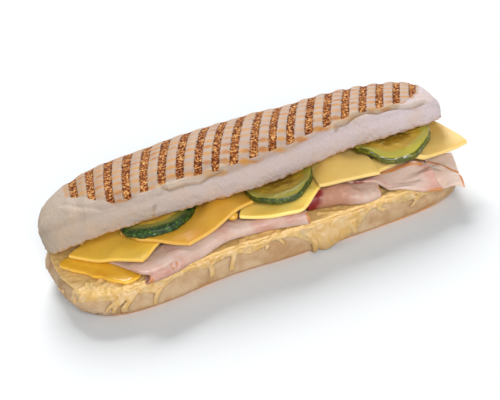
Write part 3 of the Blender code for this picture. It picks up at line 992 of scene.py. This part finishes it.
    def relief(self, place: Vector, normal: Vector) -> Vector:
        """Presses the lines in, and makes the crust uneven.

        Args:
            place: the vertex's place.
            normal: its normal.

        Returns:
            The step.
        """
        side = smooth(normal.z, 0.95, 0.6) * smooth(normal.z, -0.9, -0.4)
        lift = self.wrinkles.at(place, side) + self.puckers.at(place, side) + self.bumps.at(place)
        line = self.line_at(place)
        inside = smooth(abs(line - round(line)) * GRILL_PITCH, *self.stripe_sides)
        lift -= self.stripe_depth * inside * self.pressed(place)
        if normal.z > -0.2 and place.y < 0.02:
            lift += self.folds(place)
        lift += self.torn.at(place, smooth(place.z - lid_cut_height(place), 0.0026, 0.0006))
        return normal * lift

    def folds(self, place: Vector) -> float:
        """The creases along the front, each with a raised lip above it.

        Args:
            place: the vertex's place.

        Returns:
            The height that they add.
        """
        over = self.over_crease(place)
        lift = self.lip_height * hump(over, 0.0027, 0.0016)
        lift -= self.crease_depth * hump(over, 0.0, 0.0009)
        away, step = near_line(self.shelf, place)
        lift -= self.shelf_depth * hump(away, 0.0, 0.0015)
        lift += self.shelf_lip * hump(math.copysign(away, step.y + step.z), -0.0035, 0.0022)
        return lift - self.slit_depth * hump(near_line(self.slit, place)[0], 0.0, 0.0008)

    def over_crease(self, place: Vector) -> float:
        """How far a place lies from the nearest crease.

        Args:
            place: the vertex's place.

        Returns:
            The distance above it, negative below it.
        """
        best = 1.0
        if place.y < 0.02 and place.z > 0.053:
            for crease in self.creases:
                away, step = near_line(crease, place)
                if away < abs(best):
                    best = math.copysign(away, step.y + step.z)
        return best

    def groove_at(self, place: Vector) -> float:
        """How far a place lies in a crease or in the slit, where the crust paints shade."""
        slit = near_line(self.slit, place)[0] if place.x < -0.05 and place.y < 0.0 else 1.0
        return max(hump(self.over_crease(place), 0.0001, 0.0009), hump(slit, 0.0, 0.0006))


@dataclass(frozen=True)
class LowerBread:
    """The lower half, whose front shows between the runs of cheese."""

    voxel: float = 0.00095
    wrinkles: Ripple = Ripple(0.0005, 0.016, 11.0)
    bumps: Ripple = Ripple(0.00025, 0.004, 12.0, 2)
    end: Grab = Grab((0.1240, -0.0300, 0.0080), (0.0014, -0.0010, 0.0), 0.022)

    def build(self) -> Piece:
        """Models the lower half and marks the dark spots under its left end.

        Returns:
            The finished piece.
        """
        piece = Bench.copy_node("bun_bottom", "lower_bread")
        Bench.remesh(piece, self.voxel, 5)
        Bench.mark(piece, burnt=lambda place, normal: (
            hump(place.x, -0.103, 0.010) * smooth(place.z, 0.0085, 0.003)
        ))
        Bench.sculpt(piece, self.relief)
        return piece

    def relief(self, place: Vector, normal: Vector) -> Vector:
        """The step of a place on the surface: the flat underside stays flat."""
        lift = self.wrinkles.at(place) + self.bumps.at(place)
        return normal * lift * smooth(place.z, 0.0004, 0.004) + self.end.step(place)


@dataclass(frozen=True)
class MeltedCheese:
    """The melted cheese on the lower half, with loose shreds sunk into it."""

    voxel: float = 0.0007
    loose: int = 110
    crumbs: int = 90
    loose_span: Range = (-0.112, 0.110)
    crumb_span: Range = (-0.124, -0.070)
    ledge: Range = (0.0150, 0.0235)
    lengths: Range = (0.004, 0.012)
    crumb_length: float = 0.0025
    half_widths: Range = (0.0008, 0.0013)
    cling_step: float = 0.0013
    clearance: float = 0.0007
    swell: float = 0.0004
    look_from: float = -0.12
    look_run: float = 0.085
    look_down: float = 0.35
    lumps: Ripple = Ripple(0.0005, 0.006, 31.0, 3, -0.25)
    grains: Ripple = Ripple(0.0003, 0.0024, 32.0, 2, -0.3)
    # The three runs at the left end hang slanting, and the wide one hangs over the foot
    hangs: tuple[Grab, ...] = (
        Grab((-0.0915, -0.0460, 0.0030), (-0.0055, 0.0008, 0.0020), 0.017),
        Grab((0.0390, -0.0370, 0.0045), (0.0, -0.0015, -0.0020), 0.019),
    )

    def build(self, bread: Piece) -> Piece:
        """Models the blanket of cheese, with its shreds and crumbs melted into it.

        Args:
            bread: the lower half, which carries it.

        Returns:
            The finished piece.
        """
        blanket = Bench.copy_node("melted_cheese", "melted_cheese_skin")
        for hang in self.hangs:
            Bench.sculpt(blanket, lambda place, normal, hang=hang: hang.step(place))
        graph = bpy.context.evaluated_depsgraph_get()
        ground = [BVHTree.FromObject(piece, graph) for piece in (bread, blanket)]
        Bench.pick(blanket, *self.scatter(ground))
        bpy.ops.object.join()
        Bench.remesh(blanket, self.voxel, 2)
        Bench.sculpt(blanket, lambda place, normal: self.cling(ground[0], place))
        Bench.sculpt(blanket, self.relief)
        return blanket

    def cling(self, bread: BVHTree, place: Vector) -> Vector:
        """Melts what stands off the front of the bread down onto it.

        Args:
            bread: the lower half.
            place: the vertex's place.

        Returns:
            The step.
        """
        near = bread.find_nearest(place)[0] - place
        way = near.normalized()
        in_front = smooth(-way.z, 0.97, 0.7) * smooth(near.length, 0.0060, 0.0030)
        return way * in_front * min(self.cling_step, max(near.length - self.clearance, 0.0))

    def relief(self, place: Vector, normal: Vector) -> Vector:
        """Makes the outside uneven, and only outwards.

        Args:
            place: the vertex's place.
            normal: its normal.

        Returns:
            The step.
        """
        lift = self.lumps.at(place) + self.grains.at(place)
        lift += self.swell * smooth(place.z, 0.0175, 0.0130) * smooth(place.x, 0.02, 0.0)
        return normal * lift * smooth(normal.z - 1.4 * normal.y, 0.0, 0.6)

    def seat(
        self, ground: Sequence[BVHTree], x: float, height: float
    ) -> tuple[Vector, Vector] | None:
        """Where a slanting look from the front meets the bread or its cheese.

        Args:
            ground: the surfaces to meet.
            x: the place along the sandwich.
            height: how far up the look starts.

        Returns:
            The place and the surface's normal, or None.
        """
        look = Vector((0.0, 1.0, -self.look_down)).normalized()
        start = Vector((x, self.look_from, height + self.look_run * self.look_down))
        hits = [hit for tree in ground if (hit := tree.ray_cast(start, look))[0] is not None]
        return min(hits, key=lambda hit: hit[3])[:2] if hits else None

    def scatter(self, ground: Sequence[BVHTree]) -> list[Piece]:
        """Models the short loose shreds along the ledge in front of the fillings.

        Args:
            ground: the surfaces that they lie on.

        Returns:
            The shreds and crumbs.
        """
        chance = random.Random(7)
        strips = []
        for number in range(self.loose + self.crumbs):
            crumb = number >= self.loose
            x = chance.uniform(*(self.crumb_span if crumb else self.loose_span))
            height = chance.uniform(*self.ledge)
            turn = chance.uniform(-1.2, 1.2)
            length = self.crumb_length if crumb else chance.uniform(*self.lengths)
            path = []
            for share in [step / 7 - 0.5 for step in range(8)]:
                bow = 0.0006 * math.cos(math.pi * share) * turn
                rise = 0.6 * length * share * math.sin(turn)
                seat = self.seat(ground, x + length * share * math.cos(turn), height + rise + bow)
                if seat and (not path or 0.0001 < (seat[0] - path[-1][0]).length < 0.004):
                    path.append(seat)
            if len(path) > 4:
                strips.append(self.strip(path, chance.uniform(*self.half_widths)))
        return strips

    @staticmethod
    def strip(path: Sequence[tuple[Vector, Vector]], half: float) -> Piece:
        """Bends a cylinder along a path on the surface.

        Args:
            path: places with the surface's normal at each.
            half: half its width.

        Returns:
            The strip, a little flattened and tapered at its ends.
        """
        bpy.ops.object.select_all(action="DESELECT")
        bpy.ops.mesh.primitive_cylinder_add(vertices=8, radius=1.0, depth=2.0, end_fill_type="NGON")
        strip = bpy.context.object
        bpy.ops.object.mode_set(mode="EDIT")
        bpy.ops.mesh.select_all(action="DESELECT")
        bpy.ops.object.mode_set(mode="OBJECT")
        for edge in strip.data.edges:
            ends = [strip.data.vertices[index].co.z for index in edge.vertices]
            edge.select = abs(ends[0] - ends[1]) > 1.0
        bpy.ops.object.mode_set(mode="EDIT")
        bpy.ops.mesh.select_mode(type="EDGE")
        bpy.ops.mesh.subdivide(number_cuts=2 * len(path))
        bpy.ops.object.mode_set(mode="OBJECT")
        last = len(path) - 1
        for vert in strip.data.vertices:
            at = (vert.co.z + 1) / 2 * last
            low = min(int(at), last - 1)
            (start, start_normal), (end, end_normal) = path[low : low + 2]
            normal = start_normal.lerp(end_normal, at - low).normalized()
            across = normal.cross((end - start).normalized()).normalized()
            thick = half * (0.4 + 0.6 * math.sqrt(max(1 - (2 * at / last - 1) ** 4, 0.0)))
            sideways = across * vert.co.x * thick
            vert.co = start.lerp(end, at - low) + sideways + normal * (0.6 * vert.co.y + 0.3) * thick
        return strip


@dataclass(frozen=True)
class Slice:
    """A slice between the two halves: its solid, its finish, and where it is pulled."""

    node: str
    finish: str
    round_edge: float
    levels: int
    grabs: tuple[Grab, ...] = ()

    def start(self) -> Piece:
        """Models the slice with rounded cut sides.

        Returns:
            The slice, still without its unevenness.
        """
        piece = Bench.copy_node(self.node, f"{self.node}_slice")
        Bench.apply(
            piece, "BEVEL", width=self.round_edge, segments=2, limit_method="ANGLE",
            angle_limit=math.radians(50),
        )
        Bench.apply(piece, "SUBSURF", levels=self.levels, render_levels=self.levels)
        return piece

    def pulled(self, step: Vector, place: Vector) -> Vector:
        """Adds the pulls on a vertex.

        Args:
            step: the vertex's step so far.
            place: its place.

        Returns:
            The step with the pulls.
        """
        for grab in self.grabs:
            step += grab.step(place)
        return step


@dataclass(frozen=True)
class CheeseSlice(Slice):
    """A square slice of cheese."""

    finish: str = "light_cheese"
    round_edge: float = 0.0007
    levels: int = 2
    waves: Ripple = Ripple(0.00018, 0.02, 41.0, 2)
    melt: float = 0.0
    crumbs: tuple[Spot, ...] = ()

    def build(self) -> Piece:
        """Models the slice and its torn crumbs.

        Returns:
            The finished piece.
        """
        piece = self.start()
        # side marks the cut sides, which take the painted highlight
        Bench.mark(piece, side=lambda place, normal: smooth(abs(normal.z), 0.75, 0.35))
        middle = sum((vert.co for vert in piece.data.vertices), Vector()) / len(piece.data.vertices)
        Bench.sculpt(piece, lambda place, normal: self.relief(place, middle))
        for x, y, z, radius in self.crumbs:
            self.add_crumb(piece, Vector((x, y, z)), radius)
        return piece

    def relief(self, place: Vector, middle: Vector) -> Vector:
        """Waves the slice slightly, and slumps its sides where it melts.

        Args:
            place: the vertex's place.
            middle: the middle of the slice.

        Returns:
            The step.
        """
        step = self.pulled(Vector((0, 0, self.waves.at(place))), place)
        if self.melt:
            flat = Vector((place.x - middle.x, place.y - middle.y, 0.0)).normalized()
            step += flat * self.melt * crumple(Vector((place.x, place.y, 0.0)), 0.012, 42.0)
        return step

    @staticmethod
    def add_crumb(piece: Piece, at: Vector, radius: float) -> None:
        """Adds a torn crumb of cheese to the slice.

        Args:
            piece: the slice.
            at: the crumb's middle.
            radius: its radius.
        """
        bpy.ops.object.select_all(action="DESELECT")
        bpy.ops.mesh.primitive_uv_sphere_add(segments=24, ring_count=14, radius=radius)
        crumb = bpy.context.object
        Bench.sculpt(
            crumb, lambda place, normal: normal * 0.25 * radius * crumple(place, 0.007, 43.0, 1)
        )
        for vert in crumb.data.vertices:
            vert.co = at + Vector((vert.co.x, vert.co.y, 0.7 * vert.co.z))
        Bench.pick(piece, crumb)
        bpy.ops.object.join()


@dataclass(frozen=True)
class HamSlice(Slice):
    """A folded slice of ham."""

    finish: str = "ham"
    round_edge: float = 0.0006
    levels: int = 3
    wrinkle: float = 0.00035
    nick_depth: float = 0.0011
    rind: tuple[Streak, ...] = ()
    rosy: tuple[Spot, ...] = ()
    # Spots of painted dark-red shade, in the fold's openings and in gaps
    deep: tuple[Spot, ...] = ()
    nicks: tuple[Streak, ...] = ()
    relax: int = 0

    def build(self) -> Piece:
        """Models the slice and marks its rind and the painted dark-red shade inside its fold.

        Returns:
            The finished piece.
        """
        piece = self.start()
        if self.relax:
            Bench.relax(piece, self.relax)
        Bench.mark(
            piece,
            rind=lambda place, normal: self.rind_at(place),
            deep=lambda place, normal: self.near(place, self.deep),
            rosy=lambda place, normal: self.near(place, self.rosy),
        )
        Bench.sculpt(piece, self.relief)
        return piece

    def relief(self, place: Vector, normal: Vector) -> Vector:
        """Wrinkles the slice: both of its faces move together.

        Args:
            place: the vertex's place.
            normal: its normal.

        Returns:
            The step.
        """
        lift = self.wrinkle * crumple(place, 0.011, 51.0, 2)
        lift += 0.4 * self.wrinkle * crumple(place, 0.0035, 52.0, 2)
        step = self.pulled(Vector((0, -0.4 * lift, lift)), place)
        for nick in self.nicks:
            step -= self.nick_depth * normal * nick.share(place)
        return step

    def rind_at(self, place: Vector) -> float:
        """How far a place has the rind's colour, which shows in the nicks too."""
        return max((streak.share(place) for streak in (*self.rind, *self.nicks)), default=0.0)

    @staticmethod
    def near(place: Vector, spots: Sequence[Spot]) -> float:
        """How far a place lies in any of the given spots."""
        away = [((place - Vector(spot[:3])).length, spot[3]) for spot in spots]
        return max((smooth(length, reach, 0.4 * reach) for length, reach in away), default=0.0)


@dataclass(frozen=True)
class PickleSlice:
    """A round slice of gherkin, bent to lie on the cheese."""

    node: str
    radius: float
    finish: str
    face: float = 0.86
    underside: float = 0.95
    skin_from: float = 0.76
    swell: float = 0.0003
    ridges: float = 0.0004
    dish: float = 0.0009
    around: int = 120
    rings: int = 44

    def build(self) -> Piece:
        """Models the slice from a flattened ball, laid into its solid's place.

        Returns:
            The finished piece.
        """
        low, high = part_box(self.node)
        middle = (low + high) / 2
        bpy.ops.object.select_all(action="DESELECT")
        bpy.ops.mesh.primitive_uv_sphere_add(segments=self.around, ring_count=self.rings, radius=1.0)
        piece = bpy.context.object
        piece.name = f"{self.node}_slice"
        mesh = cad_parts[self.node].data
        solid = BVHTree.FromPolygons(
            [vert.co.copy() for vert in mesh.vertices], [tuple(face.vertices) for face in mesh.polygons]
        )
        outs, skins = [], []
        for vert in piece.data.vertices:
            polar = math.acos(min(max(vert.co.z, -1.0), 1.0)) / (math.pi / 2)
            upper = polar <= 1
            share = polar if upper else 2 - polar
            turn = math.atan2(vert.co.y, vert.co.x)
            flat, out = self.profile(share, self.face if upper else self.underside)
            uneven = 1 + 0.014 * math.sin(5 * turn + middle.x * 90) + 0.010 * math.sin(9 * turn)
            edge = Vector((math.cos(turn), math.sin(turn), 0.5 * flat))
            bumpy = self.ridges * smooth(share, 0.66, 0.8)
            bumpy *= crumple(edge * self.radius + middle, 0.0034, 61.0, 2)
            reach = self.radius * uneven * out + bumpy
            x, y = middle.x + reach * edge.x, middle.y + reach * edge.y
            vert.co = (x, y, self.height(solid, middle, x, y, flat if upper else -flat, share))
            vert.co.z += 0.6 * bumpy if upper else 0.0
            outs.append(min(out / self.face, 1.0))
            skins.append(smooth(share, self.skin_from, self.skin_from + 0.07) if upper else 1.0)
        Bench.store(piece, "out", outs)
        Bench.store(piece, "skin", skins)
        return piece

    def height(
        self, solid: BVHTree, middle: Vector, x: float, y: float, level: float, share: float
    ) -> float:
        """The height of a place on the slice.

        Args:
            solid: the slice's solid.
            middle: its middle.
            x: the place's x.
            y: the place's y.
            level: -1 on the underside and 1 on the upper face.
            share: 0 in the middle of a face and 1 at the rim.

        Returns:
            The height: swollen in front of the lid, and dished inside the rim.
        """
        bottom, top = self.faces_of(solid, middle, x, y)
        lid_front = -0.0185 + 0.0085 * rightwards(x)
        top += self.swell * smooth(lid_front - y, 0.0, 0.004)
        z = (top + bottom) / 2 + level * (top - bottom) / 2
        if level > 0:
            seedy = 0.00015 * crumple(Vector((x, y, 0.0)), 0.004, 62.0, 2)
            z -= self.dish * smooth(share, 0.68, 0.42) - seedy
        return z

    @staticmethod
    def profile(share: float, face: float) -> Range:
        """The slice's section.

        Args:
            share: 0 in the middle of a face and 1 at the widest.
            face: the radius of the flat face, as a share.

        Returns:
            The height as a share of half the thickness, and the radius as a share.
        """
        if share < 0.7:
            return 1.0, face * share / 0.7
        turn = (share - 0.7) / 0.3 * math.pi / 2
        return max(math.cos(turn), 0.0) ** 0.6, face + (1 - face) * math.sin(turn) ** 0.6

    @staticmethod
    def faces_of(solid: BVHTree, middle: Vector, x: float, y: float) -> Range:
        """Finds the two faces of the solid at a place.

        Args:
            solid: the slice's solid.
            middle: its middle.
            x: the place's x.
            y: the place's y.

        Returns:
            The heights of its lower and upper face, read further in beyond its rim.
        """
        for inwards in (0.0, 0.04, 0.08, 0.12, 0.2):
            at = Vector((x + (middle.x - x) * inwards, y + (middle.y - y) * inwards, 0.0))
            upper, lower = (
                solid.ray_cast(at + Vector((0, 0, side * 0.1)), Vector((0, 0, -side)))[0]
                for side in (1, -1)
            )
            if upper is not None and lower is not None:
                return lower.z, upper.z
        return middle.z, middle.z


@dataclass(frozen=True)
class Sun:
    """A far, soft light: its azimuth from the front, elevation, strength and softness."""

    azimuth: float
    elevation: float
    strength: float
    softness: float

    def hang(self) -> None:
        """Hangs the light so that it points at the sandwich."""
        light = bpy.data.lights.new("softbox", "SUN")
        light.energy = self.strength
        light.angle = math.radians(self.softness)
        lamp = bpy.data.objects.new("softbox", light)
        lamp.location = towards(self.azimuth, self.elevation)
        lamp.rotation_euler = lamp.location.to_track_quat("Z", "Y").to_euler()
        bpy.context.scene.collection.objects.link(lamp)


@dataclass(frozen=True)
class Studio:
    """A plain white floor, soft lights and the camera at the photograph's angle."""

    azimuth: float = -5.0
    elevation: float = 30.0
    roll: float = 14.0952
    distance: float = 0.8
    view_width: float = 0.29914
    target: Point = (0.0, -0.013, 0.035)
    floor_colour: Colour = (0.65, 0.668, 0.682, 1.0)
    surround: float = 0.26
    lights: tuple[Sun, ...] = (Sun(176.0, 40.0, 3.85, 28.0), Sun(2.0, 32.0, 3.05, 30.0))

    def build(self) -> None:
        """Sets up the floor, the lights and the camera."""
        self.lay_floor()
        for sun in self.lights:
            sun.hang()
        world = bpy.data.worlds.new("studio")
        bpy.context.scene.world = world
        world.use_nodes = True
        shade = world.node_tree.nodes["Background"]
        shade.inputs["Color"].default_value = (1.0, 1.0, 1.0, 1.0)
        shade.inputs["Strength"].default_value = self.surround
        bpy.context.scene.view_settings.view_transform = "Standard"
        self.place_camera()

    def lay_floor(self) -> None:
        """Lays the floor."""
        bpy.ops.object.select_all(action="DESELECT")
        bpy.ops.mesh.primitive_plane_add(size=8.0, location=(0.0, 0.0, 0.0))
        floor = bpy.context.object
        floor.name = "floor"
        material = bpy.data.materials.new("floor")
        material.use_nodes = True
        shader = material.node_tree.nodes["Principled BSDF"]
        shader.inputs["Base Color"].default_value = self.floor_colour
        shader.inputs["Roughness"].default_value = 1.0
        shader.inputs["Specular IOR Level"].default_value = 0.0
        floor.data.materials.append(material)

    def place_camera(self) -> None:
        """Places the camera, turned about its own axis as the photograph is."""
        back, roll = towards(self.azimuth, self.elevation), math.radians(self.roll)
        level = (-back).cross(Vector((0, 0, 1))).normalized()
        upright = level.cross(-back)
        right = level * math.cos(roll) - upright * math.sin(roll)
        up = level * math.sin(roll) + upright * math.cos(roll)
        matrix = Matrix((right, up, back)).transposed().to_4x4()
        matrix.translation = Vector(self.target) + back * self.distance
        lens = bpy.data.cameras.new("photo_view")
        lens.lens = lens.sensor_width * self.distance / self.view_width
        lens.clip_start = 0.01
        camera = bpy.data.objects.new("photo_view", lens)
        camera.matrix_world = matrix
        bpy.context.scene.collection.objects.link(camera)
        bpy.context.scene.camera = camera


FINISHES = (
    CheeseFinish("cheese"),
    # Painted lighter than plain cheese, against the lid's shade on the left slice
    CheeseFinish(
        "young_cheese", face=srgb(236, 192, 74), deep=srgb(228, 176, 58), side=srgb(238, 200, 110)
    ),
    CheeseFinish(
        "ripe_cheese", roughness=0.26, coat=0.25, glow=0.35, relief=0.0003,
        face=srgb(232, 176, 50), deep=srgb(226, 160, 34), side=srgb(234, 186, 72),
    ),
    # Painted lighter still, against the lid's shade on the centre slice
    CheeseFinish(
        "mellow_cheese", glow_tint=(1.0, 0.55, 0.2),
        face=srgb(248, 212, 108), deep=srgb(242, 200, 90), side=srgb(246, 216, 138),
    ),
    CheeseFinish(
        "light_cheese", roughness=0.6, coat=0.0, glow_tint=(1.0, 0.6, 0.25),
        face=srgb(214, 180, 102), deep=srgb(206, 168, 84), side=srgb(228, 198, 128),
    ),
    # Its default flesh and core are painted lighter, against the lid's shade
    PickleFinish(
        "dark_pickle", roughness=0.42, coat=0.1, glow=0.2, glow_tint=(0.7, 0.9, 0.2), relief=0.0006
    ),
    PickleFinish(
        "pickle",
        flesh=srgb(172, 142, 44), core=srgb(130, 98, 26), seed=srgb(190, 160, 70),
        ring=srgb(150, 140, 52), skin=srgb(46, 60, 8), streak=srgb(108, 118, 30),
    ),
    PickleFinish(
        "light_pickle", roughness=0.26, coat=0.22, glow=0.3,
        flesh=srgb(192, 156, 52), core=srgb(140, 106, 24), seed=srgb(228, 210, 130),
        ring=srgb(178, 168, 68), skin=srgb(70, 76, 6), streak=srgb(130, 126, 26),
    ),
    HamFinish("ham"),
    HamFinish("rosy_ham", coat=0.06, rosy=srgb(170, 122, 98), pale=srgb(196, 170, 156)),
    HamFinish(
        "pale_ham", meat=srgb(204, 182, 168), rosy=srgb(196, 166, 148), pale=srgb(218, 202, 188)
    ),
    MeltFinish("melt"),
    LowerCrust("lower_crust"),
    GrilledCrust("grilled_crust"),
)
CHEESES = (
    CheeseSlice(
        "cheese_melted", "ripe_cheese", melt=0.0028, round_edge=0.0011,
        grabs=(Grab((-0.075, -0.041, 0.024), (0.0045, 0.0, -0.0004), 0.016),),
    ),
    CheeseSlice("cheese_left", "young_cheese"),
    CheeseSlice(
        "cheese_front", "cheese",
        grabs=(
            Grab((-0.0862, -0.0109, 0.0350), (0.0062, 0.0048, 0.0), 0.022),
            Grab((-0.0424, -0.0430, 0.0335), (0.0, 0.0016, 0.0012), 0.020),
        ),
        crumbs=((-0.0132, -0.0256, 0.0352, 0.0034),),
    ),
    CheeseSlice(
        "cheese_centre", "mellow_cheese",
        grabs=(Grab((0.0100, -0.0290, 0.0340), (0.0, -0.0042, -0.0006), 0.045),),
    ),
    CheeseSlice("cheese_middle"),
    CheeseSlice(
        "cheese_right", grabs=(Grab((0.0900, -0.0215, 0.0330), (0.0, 0.0048, 0.0), 0.018),)
    ),
)
# The deep spots are painted shade in the folds' openings and the gaps between slices
HAMS = (
    HamSlice(
        "ham_left", wrinkle=0.0005,
        deep=((-0.0712, -0.0520, 0.0250, 0.0026),),
        rind=(
            Streak(
                ((0.0292, -0.0415, 0.0235), (0.0290, -0.0410, 0.0278), (0.0290, -0.0392, 0.0303)),
                0.0032,
            ),
            Streak(((-0.0735, -0.0522, 0.0275), (-0.0695, -0.0545, 0.0255)), 0.0030),
        ),
        grabs=(
            Grab((-0.073, -0.0545, 0.030), (0.0045, 0.001, 0.0), 0.007),
            Grab((-0.0490, -0.0270, 0.029), (0.0, 0.0, 0.0038), 0.023),
            Grab((-0.0240, -0.0250, 0.029), (0.0, 0.0, 0.0042), 0.023),
        ),
        nicks=(
            Streak(
                ((-0.0560, -0.0480, 0.0306), (-0.0562, -0.0496, 0.0290), (-0.0552, -0.0510, 0.0268)),
                0.0010,
            ),
            Streak(
                ((-0.0528, -0.0476, 0.0304), (-0.0524, -0.0494, 0.0286), (-0.0536, -0.0506, 0.0268)),
                0.0010,
            ),
        ),
    ),
    HamSlice(
        "ham_middle", "rosy_ham", wrinkle=0.0008,
        deep=(
            (0.0315, -0.0290, 0.0265, 0.0082), (0.0350, -0.0280, 0.0310, 0.0070),
            (0.0385, -0.0262, 0.0333, 0.0050),
        ),
        rosy=((0.045, -0.030, 0.030, 0.020),),
        rind=(Streak(((0.0755, -0.0350, 0.0235), (0.0755, -0.0330, 0.0300)), 0.0034),),
        grabs=(
            Grab((0.0530, -0.0230, 0.0330), (0.0, 0.0, 0.0028), 0.016),
            Grab((0.0700, -0.0250, 0.0295), (0.0, 0.0, 0.0024), 0.012),
        ),
    ),
    HamSlice("ham_bed", levels=2),
    HamSlice(
        "ham_back", "pale_ham",
        rind=(
            Streak(
                ((0.1107, -0.0139, 0.0255), (0.1138, -0.0164, 0.0250), (0.1193, -0.0235, 0.0236),
                 (0.1243, -0.0287, 0.0213)), 0.0016,
            ),
            Streak(((0.1280, -0.0120, 0.0245), (0.1262, -0.0260, 0.0225)), 0.0012),
        ),
    ),
    HamSlice(
        "ham_end", "pale_ham", relax=6,
        rind=(
            Streak(
                ((0.1240, -0.0310, 0.0222), (0.1242, -0.0356, 0.0217), (0.1242, -0.0384, 0.0176),
                 (0.1248, -0.0400, 0.0150)), 0.0020,
            ),
        ),
        grabs=(Grab((0.1185, -0.0395, 0.0150), (0.0, 0.0, 0.0032), 0.009),),
    ),
    HamSlice(
        "ham_right", relax=60, wrinkle=0.0001,
        rind=(
            Streak(((0.1030, -0.0362, 0.0172), (0.1105, -0.0370, 0.0155)), 0.0045),
            Streak(
                ((0.0800, -0.0205, 0.0310), (0.0913, -0.0188, 0.0292), (0.0969, -0.0190, 0.0297),
                 (0.1046, -0.0205, 0.0296)), 0.0030,
            ),
        ),
        deep=((0.0655, -0.0256, 0.0300, 0.0042), (0.0622, -0.0252, 0.0318, 0.0026)),
        grabs=(
            Grab((0.0900, -0.0317, 0.0252), (0.0, -0.0004, -0.0010), 0.016),
            Grab((0.0760, -0.0205, 0.0300), (0.0, 0.0, 0.0016), 0.012),
            Grab((0.0920, -0.0150, 0.0295), (0.0, 0.0, 0.0022), 0.015),
            Grab((0.1090, -0.0370, 0.0150), (0.0024, 0.0, 0.0012), 0.012),
        ),
    ),
)
PICKLES = (
    PickleSlice("pickle_left", 0.0238, "dark_pickle", face=0.74, ridges=0.0010, skin_from=0.69),
    PickleSlice("pickle_middle", 0.0211, "pickle", face=0.93),
    PickleSlice("pickle_right", 0.0248, "light_pickle", face=0.92),
)


def main() -> None:
    """Builds every piece in order, then the studio."""
    logging.basicConfig(level=logging.INFO, format="%(message)s")
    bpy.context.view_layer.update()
    finish = {made.name: made.material() for made in FINISHES}
    Bench.hand_in(Lid().build(), "pale_crust", finish["grilled_crust"], "bun_top")
    bread = LowerBread().build()
    Bench.hand_in(bread, "crust", finish["lower_crust"], "bun_bottom")
    Bench.hand_in(MeltedCheese().build(bread), "melted_cheese", finish["melt"], "melted_cheese")
    for slot, slices in (("cheese", CHEESES), ("ham", HAMS), ("pickle", PICKLES)):
        for piece in slices:
            Bench.hand_in(piece.build(), slot, finish[piece.finish], piece.node)
    Studio().build()


if __name__ == "__main__":
    main()
